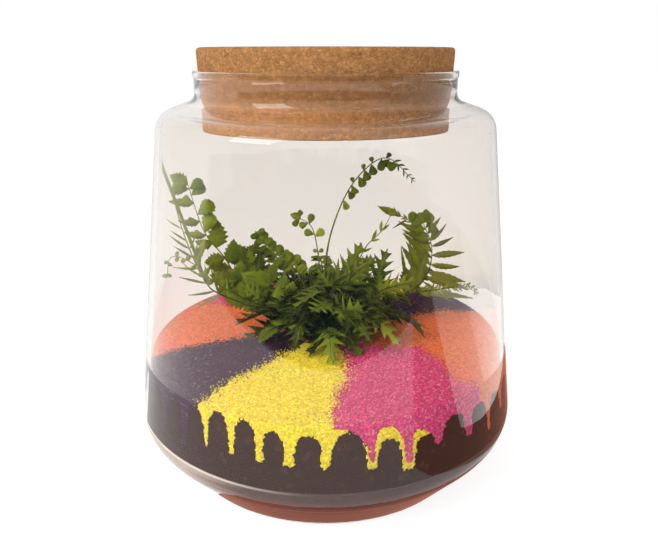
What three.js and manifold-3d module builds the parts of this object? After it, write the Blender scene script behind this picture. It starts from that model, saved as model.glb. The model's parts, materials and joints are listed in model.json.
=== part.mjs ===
// Glass jar terrarium: a cork stopper over ferns that stand in soil, under a ring of coloured sand.
// Sizes are in millimetres, +Z is up and the front is towards -Y. The origin is the foot's centre.
// An azimuth is in degrees about the jar's axis: 0 is the front and 90 is +X.
import * as THREE from "three";
import { mergeVertices } from "three/addons/utils/BufferGeometryUtils.js";
import Module from "manifold-3d";

const wasm = await Module();
wasm.setup();

// Glass jar, outside
const FOOT_RADIUS = 71;
const FOOT_ROUND = 4;
const HEEL_RADIUS = 92.5;
const HEEL_HEIGHT = 26;
const HEEL_ROUND = 16;
const BODY_LENGTH = 142;
const SHOULDER_RADIUS = 74.4;
const SHOULDER_ROUND = 10;
const SHOULDER_RISE = 5.7;
const NECK_RADIUS = 57.6;
const NECK_ROUND = 5;
const NECK_LENGTH = 12;
const RIM_BEAD = 0.4;
const RIM_BEAD_HEIGHT = 3;
const RIM_ROUND = 0.8;

// Glass jar, thickness
const FLOOR = 3;
const FLOOR_ROUND = 4;
const WALL = 2.3;
const NECK_WALL = 1.7;

// Cork stopper, which narrows downwards and bears on the rim
const CORK_LENGTH = 33;
const CORK_INSERT = 23.7;
const CORK_TAPER = 0.04;
const CORK_TOP_ROUND = 2;
const CORK_FOOT_ROUND = 1;
const CORK_CLEARANCE = 0.3;

// Filling, from the floor upwards
const FILL_CLEARANCE = 0.3;
const LAYER_GAP = 0.3;
const DRAINAGE_DEPTH = 19;
const SOIL_DEPTH = 33;
const SAND_DEPTH = 4;
const SAND_RISE = 4;
const SECTOR_GAP = 0.3;

// Sand drips, poked down between the soil and the glass
const DRIP_WIDTH = 4;
const DRIP_FLARE = 3.2;
const DRIP_FLARE_DROP = 6;
const DRIP_THICKNESS = 5;
const DRIP_RUN = 14;
const DRIP_RUN_CHANGE = 2.5;

// Root ball and the sockets that the stems stand in
const ROOT_BALL_RADIUS = 21;
const ROOT_BALL_FOOT_RADIUS = 16;
const ROOT_BALL_DEPTH = 25;
const ROOT_BALL_CROWN = 3;
const ROOT_BALL_TABLE = 15;
const SOCKET_DEPTH = 2.5;
const SOCKET_CLEARANCE = 0.3;

// Ferns
const STEM_WIDTH = 1.5;
const STEM_THICKNESS = 1.2;
const STEM_LIP = 2;
const LEAF_THICKNESS = 0.5;
const LEAF_BASE = 1.6;
const LEAF_LEAN = 0.45;
const LEAF_DROOP = 0.15;
const LEAF_CLEARANCE = 1;
const TIP_LEAFLET = 0.6;
const LONGEST_LEAFLET = 0.33;
const LEAFLET_SHORTENING = 0.4;

// Fineness of the facets
const SEGMENTS = 40;
const WELD = 1e-4;
const MOST_OF_STRETCH = 0.45;
const FLARE_STEPS = 2;
const SOCKET_SIDES = 4;
const BARE_STEPS = 6;
const LARGE_ROUND = 6;
const LARGE_ROUND_STEPS = 3;
const SMALL_ROUND_STEPS = 2;
const DOME_STEPS = 3;

// Heights that follow from the sizes above
const SHOULDER_HEIGHT = HEEL_HEIGHT + BODY_LENGTH;
const NECK_HEIGHT = SHOULDER_HEIGHT + SHOULDER_RISE;
const JAR_HEIGHT = NECK_HEIGHT + NECK_LENGTH;
const NECK_BORE = NECK_RADIUS - NECK_WALL;
const CORK_FOOT = JAR_HEIGHT - CORK_INSERT;
const DRAINAGE_TOP = FLOOR + DRAINAGE_DEPTH;
const SAND_FOOT = DRAINAGE_TOP + SOIL_DEPTH;
const SAND_EDGE = SAND_FOOT + SAND_DEPTH;
const SAND_TOP = SAND_EDGE + SAND_RISE;
const ROOT_BALL_FOOT = SAND_TOP - ROOT_BALL_DEPTH;

// Finishes: colour, roughness
const GLASS = [0xdfe8e6, 0.05];
const CORK = [0xb98552, 0.9];
const GRIT = [0x8a5040, 0.95];
const SOIL = [0x3c2218, 0.95];
const PURPLE = [0x5a4660, 0.9];
const YELLOW = [0xf0d64a, 0.9];
const PINK = [0xc64a78, 0.9];
const CORAL = [0xe8703f, 0.9];
const DARK_LEAF = [0x2f4d1c, 0.6];
const MID_LEAF = [0x557a28, 0.6];
const PALE_LEAF = [0x86a23c, 0.6];

// Sand sectors in order round the jar: each runs from its start to the next one's start.
// Drips in view have their own azimuth and share of the usual run; a hidden sector has a number of even ones.
const SECTORS = [
  {
    name: "sand_purple_front", start: -77, finish: PURPLE,
    drips: [[-69, 0.93], [-60, 1.14], [-50, 1], [-41, 1.29]],
  },
  {
    name: "sand_yellow_front", start: -37, finish: YELLOW,
    drips: [[-32, 1], [-24, 0.93], [-16.5, 0.93], [-9, 0.93], [0.5, 0.93]],
  },
  {
    name: "sand_pink_front", start: 4.5, finish: PINK,
    drips: [[12.5, 1], [21.5, 1.21], [31, 0.71], [42, 1]],
  },
  { name: "sand_coral_right", start: 47, finish: CORAL, drips: 6 },
  { name: "sand_purple_back", start: 110, finish: PURPLE, drips: 2 },
  { name: "sand_yellow_back", start: 137, finish: YELLOW, drips: 4 },
  { name: "sand_pink_back", start: 186, finish: PINK, drips: 4 },
  { name: "sand_coral_left", start: 240, finish: CORAL, drips: 4 },
];

// Leaflet outlines from the lower edge round the tip to the upper edge.
// Each point is a share of the leaflet's length: away from the stem, then up along the stem.
const ROUND_LEAFLET = [[0.4, -0.34], [0.9, -0.22], [0.95, 0.2], [0.4, 0.36]];
const NARROW_LEAFLET = [[0.45, -0.12], [1, 0], [0.45, 0.12]];
const LOBED_LEAFLET = [[0.4, -0.3], [0.55, -0.12], [1, 0], [0.55, 0.14], [0.4, 0.34]];

// Fronds: where each stem is rooted, the points that it grows through, and its leaflets.
// root is an azimuth and a share of the root ball; a point is an azimuth, reach and rise (see inJar).
// An upright frond's leaflets lie flat to the front; the others arch outwards, level from side to side.
const FRONDS = [
  {
    name: "frond_left_tall", finish: MID_LEAF, upright: true, root: [-88, 0.8],
    through: [[-86, 0.36, 0.12], [-86, 0.5, 0.22], [-84, 0.61, 0.38], [-84, 0.74, 0.52], [-85, 0.86, 0.77]],
    leaflet: ROUND_LEAFLET, pairs: 6, bare: 0.34, length: 9,
  },
  {
    name: "frond_left_grassy", finish: PALE_LEAF, upright: true, root: [-70, 0.85],
    through: [[-75, 0.61, 0.21], [-74, 0.73, 0.31], [-72, 0.85, 0.53], [-75, 0.95, 0.78]],
    leaflet: NARROW_LEAFLET, pairs: 7, bare: 0.38, length: 11,
  },
  {
    name: "frond_left_low", finish: PALE_LEAF, upright: true, root: [-54, 0.9],
    through: [[-60, 0.65, 0.3], [-63, 0.82, 0.43], [-67, 0.93, 0.46], [-67, 0.95, 0.36]],
    leaflet: NARROW_LEAFLET, pairs: 4, bare: 0.5, length: 7,
  },
  {
    name: "frond_centre_left", finish: DARK_LEAF, upright: true, root: [-112, 0.7],
    through: [[-131, 0.19, 0.2], [-126, 0.29, 0.29], [-119, 0.42, 0.36], [-117, 0.5, 0.44]],
    leaflet: ROUND_LEAFLET, pairs: 5, bare: 0.4, length: 8,
  },
  {
    name: "small_stem", finish: MID_LEAF, upright: true, root: [-150, 0.3],
    through: [[-151, 0.08, 0.28], [-145, 0.09, 0.39], [-130, 0.12, 0.51], [-104, 0.21, 0.57]],
    leaflet: ROUND_LEAFLET, pairs: 3, bare: 0.66, length: 5,
  },
  {
    name: "tall_arching_stem", finish: MID_LEAF, upright: true, root: [170, 0.45],
    through: [[179, 0.15, 0.31], [155, 0.17, 0.55], [124, 0.24, 0.74], [100, 0.39, 0.85], [92, 0.56, 0.74]],
    leaflet: ROUND_LEAFLET, pairs: 6, bare: 0.55, length: 5.5,
  },
  {
    name: "frond_right_upright", finish: MID_LEAF, upright: true, root: [112, 0.85],
    through: [[110, 0.4, 0.08], [108, 0.64, 0.17], [108, 0.72, 0.35], [109, 0.64, 0.55]],
    leaflet: NARROW_LEAFLET, pairs: 7, bare: 0.4, length: 15,
  },
  {
    name: "frond_right_curved", finish: PALE_LEAF, upright: true, root: [140, 0.85],
    through: [[126, 0.6, 0.1], [122, 0.79, 0.3], [125, 0.75, 0.44], [136, 0.5, 0.56]],
    leaflet: NARROW_LEAFLET, pairs: 5, bare: 0.5, length: 8,
  },
  {
    name: "frond_right_low", finish: MID_LEAF, upright: true, root: [88, 0.85],
    through: [[90, 0.38, 0.14], [94, 0.6, 0.17], [96, 0.9, 0.18], [96, 0.945, 0.13]],
    leaflet: LOBED_LEAFLET, pairs: 4, bare: 0.45, length: 7,
  },
  {
    name: "leaf_right_pale", finish: PALE_LEAF, root: [54, 0.75],
    through: [[50, 0.26, 0.12], [48, 0.4, 0.17], [49, 0.55, 0.09]],
    leaflet: LOBED_LEAFLET, pairs: 4, bare: 0.4, length: 9,
  },
  {
    name: "leaf_centre_top", finish: DARK_LEAF, upright: true, root: [30, 0.25],
    through: [[31, 0.09, 0.24], [55, 0.18, 0.32], [71, 0.3, 0.38]],
    leaflet: LOBED_LEAFLET, pairs: 4, bare: 0.45, length: 9,
  },
  {
    name: "leaf_right_mid", finish: DARK_LEAF, upright: true, root: [95, 0.45],
    through: [[95, 0.27, 0.15], [98, 0.34, 0.27], [101, 0.39, 0.39]],
    leaflet: LOBED_LEAFLET, pairs: 3, bare: 0.4, length: 8,
  },
  {
    name: "leaf_front_left", finish: DARK_LEAF, root: [-24, 0.8],
    through: [[-21, 0.33, 0.16], [-20, 0.43, 0.15], [-19, 0.54, 0.09]],
    leaflet: LOBED_LEAFLET, pairs: 3, bare: 0.35, length: 7.5,
  },
  {
    name: "leaf_front", finish: DARK_LEAF, root: [2, 0.85],
    through: [[3, 0.35, 0.12], [3, 0.45, 0.09], [3, 0.55, 0.04]],
    leaflet: LOBED_LEAFLET, pairs: 3, bare: 0.35, length: 7.5,
  },
  {
    name: "leaf_front_right", finish: DARK_LEAF, root: [28, 0.85],
    through: [[28, 0.36, 0.15], [27, 0.46, 0.14], [26, 0.55, 0.09]],
    leaflet: LOBED_LEAFLET, pairs: 3, bare: 0.35, length: 7,
  },
  {
    name: "leaf_left_low", finish: PALE_LEAF, root: [-46, 0.6],
    through: [[-42, 0.26, 0.08], [-40, 0.43, 0.11], [-40, 0.56, 0.08]],
    leaflet: LOBED_LEAFLET, pairs: 3, bare: 0.4, length: 7.5,
  },
  {
    name: "leaf_left_mid", finish: MID_LEAF, upright: true, root: [-66, 0.45],
    through: [[-70, 0.27, 0.19], [-66, 0.42, 0.3], [-63, 0.53, 0.34]],
    leaflet: LOBED_LEAFLET, pairs: 3, bare: 0.4, length: 8,
  },
  {
    name: "frond_back", finish: MID_LEAF, root: [-178, 0.85],
    through: [[-178, 0.4, 0.12], [-177, 0.6, 0.19], [-177, 0.8, 0.15]],
    leaflet: ROUND_LEAFLET, pairs: 5, bare: 0.38, length: 9,
  },
  {
    name: "frond_back_left", finish: DARK_LEAF, root: [-146, 0.85],
    through: [[-146, 0.45, 0.16], [-146, 0.62, 0.24], [-147, 0.8, 0.2]],
    leaflet: NARROW_LEAFLET, pairs: 5, bare: 0.38, length: 12,
  },
  {
    name: "frond_back_right", finish: DARK_LEAF, root: [158, 0.8],
    through: [[158, 0.4, 0.14], [158, 0.58, 0.2], [157, 0.75, 0.15]],
    leaflet: LOBED_LEAFLET, pairs: 4, bare: 0.4, length: 9,
  },
];

const UP = new THREE.Vector3(0, 0, 1);
// Way that upright fronds face: to the front and a little upwards.
const FRONT = new THREE.Vector3(0, -0.94, 0.34);
const radians = THREE.MathUtils.degToRad;

// Unit vector away from the jar's axis at an azimuth.
function outward(azimuth) {
  return new THREE.Vector3(Math.sin(radians(azimuth)), -Math.cos(radians(azimuth)), 0);
}

// Unit vector along the wall at an azimuth, towards larger azimuths.
function along(azimuth) {
  return new THREE.Vector3(Math.cos(radians(azimuth)), Math.sin(radians(azimuth)), 0);
}

// Closed solid of a geometry, with its faces turned outwards.
function solid(geometry) {
  geometry.deleteAttribute("normal");
  geometry.deleteAttribute("uv");
  const merged = mergeVertices(geometry, WELD);
  const vertProperties = new Float32Array(merged.attributes.position.array);
  const corners = merged.index.array;
  const triangles = [];
  for (let i = 0; i < corners.length; i += 3) {
    const [a, b, c] = [corners[i], corners[i + 1], corners[i + 2]];
    if (a !== b && b !== c && c !== a) triangles.push(a, b, c);
  }
  const at = (i) => new THREE.Vector3().fromArray(vertProperties, 3 * i);
  let volume = 0;
  for (let i = 0; i < triangles.length; i += 3) {
    volume += at(triangles[i]).dot(at(triangles[i + 1]).cross(at(triangles[i + 2])));
  }
  if (volume < 0) triangles.reverse();
  const triVerts = new Uint32Array(triangles);
  return new wasm.Manifold(new wasm.Mesh({ numProp: 3, vertProperties, triVerts }));
}

// Named mesh of a solid in a finish.
function node(name, body, [color, roughness]) {
  const { vertProperties, triVerts } = body.getMesh();
  const geometry = new THREE.BufferGeometry();
  geometry.setAttribute("position", new THREE.BufferAttribute(vertProperties, 3));
  geometry.setIndex(new THREE.BufferAttribute(triVerts, 1));
  geometry.computeVertexNormals();
  const material = new THREE.MeshStandardMaterial({ color, roughness, metalness: 0 });
  const mesh = new THREE.Mesh(geometry, material);
  mesh.name = name;
  return mesh;
}

// Solid of revolution about +Z; the profile is a list of radius and height.
function revolve(profile) {
  return solid(new THREE.LatheGeometry(profile, SEGMENTS).rotateX(Math.PI / 2));
}

const point = (radius, height) => new THREE.Vector2(radius, height);

// Polyline through corners, with each corner that has a round bent into a curve.
// A round takes up less than half of the stretches that it joins.
function rounded(corners) {
  return corners.flatMap(({ at, round }, i) => {
    if (!round) return [at];
    const back = corners[i - 1].at.clone().sub(at);
    const ahead = corners[i + 1].at.clone().sub(at);
    const half = Math.abs(back.angleTo(ahead)) / 2;
    const most = MOST_OF_STRETCH * Math.min(back.length(), ahead.length());
    const reach = Math.min(round / Math.tan(half), most);
    const start = at.clone().addScaledVector(back.normalize(), reach);
    const end = at.clone().addScaledVector(ahead.normalize(), reach);
    const steps = round > LARGE_ROUND ? LARGE_ROUND_STEPS : SMALL_ROUND_STEPS;
    return new THREE.QuadraticBezierCurve(start, at, end).getPoints(steps);
  });
}

// Outer corners of the jar from the foot's centre to the rim, and the glass behind each stretch.
const JAR_CORNERS = [
  point(0, 0), point(FOOT_RADIUS, 0), point(HEEL_RADIUS, HEEL_HEIGHT),
  point(SHOULDER_RADIUS, SHOULDER_HEIGHT), point(NECK_RADIUS, NECK_HEIGHT), point(NECK_RADIUS, JAR_HEIGHT),
];
const GLASS_BEHIND = [FLOOR, WALL, WALL, WALL, NECK_WALL];

// Where two stretches of the jar's outline meet once each is moved inwards by its own distance.
function insetCorner(i, inset) {
  const line = (k) => {
    const direction = JAR_CORNERS[k + 1].clone().sub(JAR_CORNERS[k]).normalize();
    const inwards = point(-direction.y, direction.x);
    return { from: JAR_CORNERS[k].clone().addScaledVector(inwards, inset[k]), direction };
  };
  const [below, above] = [line(i - 1), line(i)];
  const apart = above.from.clone().sub(below.from);
  const share = apart.cross(above.direction) / below.direction.cross(above.direction);
  return below.from.addScaledVector(below.direction, share);
}

// Inside of the jar, from the floor's centre to the rim, a clearance away from the glass.
function innerWall(clearance) {
  const inset = GLASS_BEHIND.map((glass) => glass + clearance);
  const rounds = [0, FLOOR_ROUND, HEEL_ROUND - WALL, SHOULDER_ROUND - WALL, NECK_ROUND + WALL];
  const corners = rounds.slice(1).map((round, i) => ({ at: insetCorner(i + 1, inset), round }));
  const floor = { at: point(0, inset[0]) };
  const rim = { at: point(NECK_RADIUS - inset[4], JAR_HEIGHT) };
  return rounded([floor, ...corners, rim]);
}

// Radius of an inner wall at a height.
function radiusAt(wall, height) {
  const i = wall.findIndex((p, k) => k > 1 && p.y >= height);
  const share = (height - wall[i - 1].y) / (wall[i].y - wall[i - 1].y);
  return THREE.MathUtils.lerp(wall[i - 1].x, wall[i].x, share);
}

// Stretch of an inner wall between two heights, ends included.
function wallBetween(wall, low, high) {
  const between = wall.filter((p, k) => k > 0 && p.y > low && p.y < high);
  return [point(radiusAt(wall, low), low), ...between, point(radiusAt(wall, high), high)];
}

const FILL_WALL = innerWall(FILL_CLEARANCE);
const LEAF_WALL = innerWall(LEAF_CLEARANCE);
const SAND_RADIUS = radiusAt(FILL_WALL, SAND_EDGE);

// Height of the sand's domed surface at a radius.
function sandHeight(radius) {
  return SAND_EDGE + SAND_RISE * (1 - (radius / SAND_RADIUS) ** 2);
}

// Points on the sand's surface from one radius to another, moved up by lift.
function dome(from, to, lift) {
  const radius = (i) => from + ((to - from) * i) / DOME_STEPS;
  return Array.from({ length: DOME_STEPS + 1 }, (_, i) => point(radius(i), sandHeight(radius(i)) + lift));
}

function glassJar() {
  const outside = JAR_CORNERS.slice(0, 5).map((at, i) => {
    return { at, round: [0, FOOT_ROUND, HEEL_ROUND, SHOULDER_ROUND, NECK_ROUND][i] };
  });
  const bead = NECK_RADIUS + RIM_BEAD;
  const rim = [
    { at: point(NECK_RADIUS, JAR_HEIGHT - RIM_BEAD_HEIGHT) },
    { at: point(bead, JAR_HEIGHT - RIM_BEAD_HEIGHT + RIM_BEAD) },
    { at: point(bead, JAR_HEIGHT), round: RIM_ROUND },
    { at: point(NECK_BORE, JAR_HEIGHT), round: RIM_ROUND },
    { at: point(NECK_BORE, NECK_HEIGHT) },
  ];
  const inside = innerWall(0).slice(0, -1).reverse();
  return revolve([...rounded([...outside, ...rim]).slice(0, -1), ...inside]);
}

function corkLid() {
  const top = CORK_FOOT + CORK_LENGTH;
  const radius = (height) => NECK_BORE - CORK_CLEARANCE + CORK_TAPER * (height - JAR_HEIGHT);
  return revolve(rounded([
    { at: point(0, CORK_FOOT) },
    { at: point(radius(CORK_FOOT), CORK_FOOT), round: CORK_FOOT_ROUND },
    { at: point(radius(top), top), round: CORK_TOP_ROUND },
    { at: point(0, top) },
  ]));
}

function drainageLayer() {
  const below = FILL_WALL.filter((p) => p.y < DRAINAGE_TOP);
  const edge = point(radiusAt(FILL_WALL, DRAINAGE_TOP), DRAINAGE_TOP);
  return revolve([...below, edge, point(0, DRAINAGE_TOP)]);
}

// Soil under the sand, hollowed for the root ball and slotted behind the glass for every drip.
function soilBed(drips) {
  const pocket = ROOT_BALL_RADIUS + LAYER_GAP;
  const foot = DRAINAGE_TOP + LAYER_GAP;
  const side = wallBetween(FILL_WALL, foot, SAND_FOOT - LAYER_GAP);
  const lip = point(pocket, sandHeight(pocket) - SAND_DEPTH - LAYER_GAP);
  const floor = ROOT_BALL_FOOT - LAYER_GAP;
  const bed = revolve([point(0, foot), ...side, lip, point(pocket, floor), point(0, floor)]);
  return drips.reduce((left, [azimuth, run]) => left.subtract(drip(azimuth, run, LAYER_GAP)), bed);
}

// One drip: a finger that flares into the sand above, standing against the wall, grown all round.
function drip(azimuth, run, grow) {
  const half = DRIP_WIDTH / 2 + grow;
  const top = SAND_FOOT + SAND_DEPTH / 2;
  const tip = SAND_FOOT - run - grow;
  const bend = SAND_FOOT - DRIP_FLARE_DROP;
  const corner = point(half, SAND_FOOT);
  const flare = new THREE.QuadraticBezierCurve(point(half + DRIP_FLARE, top), corner, point(half, bend));
  const side = [...flare.getPoints(FLARE_STEPS), point(half, tip + half), point(half / 2, tip)];
  const outline = new THREE.Shape([...side, ...side.map((p) => point(-p.x, p.y)).reverse()]);
  const back = SAND_RADIUS - DRIP_THICKNESS - grow;
  const finger = new THREE.ExtrudeGeometry(outline, { depth: HEEL_RADIUS - back, bevelEnabled: false });
  const out = outward(azimuth);
  const place = new THREE.Matrix4().makeBasis(along(azimuth), UP, out);
  return solid(finger.applyMatrix4(place.setPosition(out.clone().multiplyScalar(back))));
}

// Azimuth and run of each drip in a sector; even ones run down unevenly.
function dripsOf({ start, drips }, end) {
  if (Array.isArray(drips)) return drips.map(([azimuth, share]) => [azimuth, share * DRIP_RUN]);
  const pitch = (end - start) / drips;
  const run = (i) => DRIP_RUN + DRIP_RUN_CHANGE * Math.sin(start + 2 * i);
  return Array.from({ length: drips }, (_, i) => [start + pitch * (i + 0.5), run(i)]);
}

// Upright prism over a sector, from within the root ball to well outside the glass,
// with half the gap to its neighbours taken off each side.
function sectorPrism(start, end) {
  const near = ROOT_BALL_RADIUS / 2;
  const far = 2 * HEEL_RADIUS;
  const shift = SECTOR_GAP / 2;
  const corner = (azimuth, radius, sideways) => {
    const p = outward(azimuth).multiplyScalar(radius).addScaledVector(along(azimuth), sideways);
    return point(p.x, p.y);
  };
  const middle = (start + end) / 2;
  const outline = new THREE.Shape([
    corner(start, near, shift), corner(start, far, shift), corner(middle, far, 0),
    corner(end, far, -shift), corner(end, near, -shift),
  ]);
  return solid(new THREE.ExtrudeGeometry(outline, { depth: JAR_HEIGHT, bevelEnabled: false }));
}

// Ring of sand on the soil, round the root ball.
function sandRing() {
  const hole = ROOT_BALL_RADIUS + LAYER_GAP;
  const side = wallBetween(FILL_WALL, SAND_FOOT, SAND_EDGE);
  const top = dome(side.at(-1).x, hole, 0);
  return revolve([...side, ...top.slice(1), point(hole, sandHeight(hole) - SAND_DEPTH), side[0]]);
}

// Inside of the jar that the filling can take up.
function fillSpace() {
  return revolve([...FILL_WALL, point(0, JAR_HEIGHT)]);
}

function rootBallProfile() {
  return [
    point(0, ROOT_BALL_FOOT), point(ROOT_BALL_FOOT_RADIUS, ROOT_BALL_FOOT),
    point(ROOT_BALL_RADIUS, SAND_TOP - ROOT_BALL_CROWN), point(ROOT_BALL_TABLE, SAND_TOP),
    point(0, SAND_TOP),
  ];
}

// Point in the room over the root ball: reach is a share of the way from the axis to the glass,
// and rise a share of the way from the root ball's top to the cork.
function inJar(azimuth, reach, rise) {
  const height = THREE.MathUtils.lerp(SAND_TOP, CORK_FOOT - LEAF_CLEARANCE, rise);
  return outward(azimuth).multiplyScalar(reach * radiusAt(LEAF_WALL, height)).addScaledVector(UP, height);
}

// Foot of a stem, at the bottom of its socket in the root ball.
function rootPoint([azimuth, share]) {
  const height = SAND_TOP - SOCKET_DEPTH;
  return outward(azimuth).multiplyScalar(ROOT_BALL_TABLE * share).addScaledVector(UP, height);
}

// Straight bar from one point to another.
function bar(from, to, radius) {
  const section = new THREE.Shape(Array.from({ length: SOCKET_SIDES }, (_, i) => {
    const turn = (2 * Math.PI * i) / SOCKET_SIDES;
    return point(radius * Math.cos(turn), radius * Math.sin(turn));
  }));
  const options = { steps: 1, extrudePath: new THREE.LineCurve3(from, to), bevelEnabled: false };
  return solid(new THREE.ExtrudeGeometry(section, options));
}

// Closed thin body about a middle surface, which is a list of points and of triangles seen from above.
// Each point holds half the body's thickness there, along its own normal.
function sheet(points, triangles) {
  const under = points.length;
  const upper = points.map(({ at, normal, half }) => at.clone().addScaledVector(normal, half));
  const lower = points.map(({ at, normal, half }) => at.clone().addScaledVector(normal, -half));
  const edges = triangles.flatMap(([a, b, c]) => [[a, b], [b, c], [c, a]]);
  const known = new Set(edges.map(([a, b]) => `${a} ${b}`));
  const rim = edges.filter(([a, b]) => !known.has(`${b} ${a}`));
  const geometry = new THREE.BufferGeometry().setFromPoints([...upper, ...lower]);
  geometry.setIndex([
    ...triangles.flat(),
    ...triangles.flatMap(([a, b, c]) => [c + under, b + under, a + under]),
    ...rim.flatMap(([a, b]) => [b, a, a + under, b, a + under, b + under]),
  ]);
  return solid(geometry);
}

// Length of the leaflets at a share of the way along the leafy part of a stem.
function leafletLength(longest, share) {
  return longest * (1 - LEAFLET_SHORTENING * ((share - LONGEST_LEAFLET) / (1 - LONGEST_LEAFLET)) ** 2);
}

// Frond: a flat stem that stands in its socket and follows a curve, with pairs of leaflets
// and one more at the tip.
function frond({ upright, root, through, leaflet, pairs, bare, length }) {
  const foot = rootPoint(root);
  const lip = foot.clone().addScaledVector(UP, SOCKET_DEPTH + STEM_LIP);
  const path = new THREE.CatmullRomCurve3([lip, ...through.map((p) => inJar(...p))]);
  const levelAside = path.getPoint(1).sub(lip).cross(UP).normalize();
  const points = [];
  const triangles = [];

  const put = (at, normal, thickness) => points.push({ at, normal, half: thickness / 2 }) - 1;
  const addFace = (a, b, c) => {
    const [p, q, r] = [a, b, c].map((i) => points[i].at);
    const seen = q.clone().sub(p).cross(r.clone().sub(p)).dot(points[a].normal);
    triangles.push(seen > 0 ? [a, b, c] : [a, c, b]);
  };
  const across = (ahead) => (upright ? ahead.clone().cross(FRONT).normalize() : levelAside);
  const addStation = (at, ahead) => {
    const aside = across(ahead);
    const normal = aside.clone().cross(ahead).normalize();
    const edge = (shift) => put(at.clone().addScaledVector(aside, shift), normal, STEM_THICKNESS);
    return { left: edge(-STEM_WIDTH / 2), right: edge(STEM_WIDTH / 2) };
  };
  const joinStations = (near, far) => {
    addFace(near.left, near.right, far.right);
    addFace(near.left, far.right, far.left);
  };
  // Blade whose outline runs from the corner at start to the one at end, in the directions out and ahead.
  const addBlade = (start, end, middle, out, ahead, size, lean) => {
    const normal = points[start].normal;
    const flat = leaflet.map(([u, v]) => point(size * u, size * (v + lean * u)));
    const blade = flat.map(({ x, y }) => {
      const at = middle.clone().addScaledVector(out, STEM_WIDTH / 2 + x).addScaledVector(ahead, y);
      return put(at.addScaledVector(normal, -LEAF_DROOP * x * (x / size)), normal, LEAF_THICKNESS);
    });
    const corners = [start, ...blade, end];
    const outline = [point(0, -LEAF_BASE / 2), ...flat, point(0, LEAF_BASE / 2)];
    const faces = THREE.ShapeUtils.triangulateShape(outline, []);
    faces.forEach((face) => addFace(...face.map((i) => corners[i])));
  };

  const whole = path.getLength();
  let last = addStation(foot, UP);
  const step = (at) => {
    const next = addStation(path.getPointAt(at), path.getTangentAt(at));
    joinStations(last, next);
    last = next;
  };
  const bareSteps = Math.ceil(bare * BARE_STEPS);
  for (let i = 0; i < bareSteps; i += 1) step((bare * i) / bareSteps);
  for (let i = 0; i < pairs; i += 1) {
    const share = i / pairs;
    const middle = bare + (1 - bare) * share;
    const halfBase = LEAF_BASE / 2 / whole;
    step(middle);
    const start = last;
    step(middle + 2 * halfBase);
    const centre = path.getPointAt(middle + halfBase);
    const ahead = path.getTangentAt(middle + halfBase);
    const aside = across(ahead);
    const size = leafletLength(length, share);
    addBlade(start.left, last.left, centre, aside.clone().negate(), ahead, size, LEAF_LEAN);
    addBlade(start.right, last.right, centre, aside, ahead, size, LEAF_LEAN);
  }
  step(1);
  const ahead = path.getTangentAt(1);
  const tip = path.getPointAt(1).addScaledVector(ahead, -STEM_WIDTH / 2);
  addBlade(last.left, last.right, tip, ahead, across(ahead), TIP_LEAFLET * length, 0);
  return sheet(points, triangles);
}

// Room that leaves can take up: over the sand, inside the glass and under the cork.
function leafSpace() {
  const well = ROOT_BALL_TABLE;
  const lift = LEAF_CLEARANCE;
  const edge = radiusAt(LEAF_WALL, SAND_EDGE + lift);
  const floor = dome(well, edge, lift);
  const ceiling = CORK_FOOT - LEAF_CLEARANCE;
  const side = wallBetween(LEAF_WALL, SAND_EDGE + lift, ceiling);
  const foot = SAND_TOP - SOCKET_DEPTH;
  return revolve([point(0, foot), point(well, foot), ...floor.slice(0, -1), ...side, point(0, ceiling)]);
}

// Root ball with a socket for each stem.
function rootBall() {
  const reach = Math.hypot(STEM_WIDTH, STEM_THICKNESS) / 2 + SOCKET_CLEARANCE;
  const radius = reach / Math.cos(Math.PI / SOCKET_SIDES);
  return FRONDS.reduce((left, { root }) => {
    const foot = rootPoint(root).addScaledVector(UP, -SOCKET_CLEARANCE);
    const mouth = foot.clone().addScaledVector(UP, 2 * SOCKET_DEPTH);
    return left.subtract(bar(foot, mouth, radius));
  }, revolve(rootBallProfile()));
}

const sectorEnd = (i) => (i + 1 < SECTORS.length ? SECTORS[i + 1].start : SECTORS[0].start + 360);
const sectorDrips = SECTORS.map((sector, i) => dripsOf(sector, sectorEnd(i)));
const ring = sandRing();
const filling = fillSpace();
const room = leafSpace();

const terrarium = new THREE.Group();
terrarium.add(node("glass_jar", glassJar(), GLASS));
terrarium.add(node("cork_lid", corkLid(), CORK));
terrarium.add(node("drainage_layer", drainageLayer(), GRIT));
terrarium.add(node("soil_bed", soilBed(sectorDrips.flat()), SOIL));
SECTORS.forEach(({ name, start, finish }, i) => {
  const fingers = sectorDrips[i].map(([azimuth, run]) => drip(azimuth, run, 0).intersect(filling));
  const layer = fingers.reduce((whole, finger) => whole.add(finger), ring);
  terrarium.add(node(name, layer.intersect(sectorPrism(start, sectorEnd(i))), finish));
});
terrarium.add(node("root_ball", rootBall(), SOIL));
FRONDS.forEach((spec) => terrarium.add(node(spec.name, frond(spec).intersect(room), spec.finish)));

export default terrarium;
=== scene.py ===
"""Corked jar terrarium: a glass jar of ferns in dark soil, under a ring of coloured sand with drips.

Lengths are metres, +Z is up and the front is towards -Y. An azimuth is in degrees about the jar's axis:
0 is the front and 90 is +X.
"""

import json
import math

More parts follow.
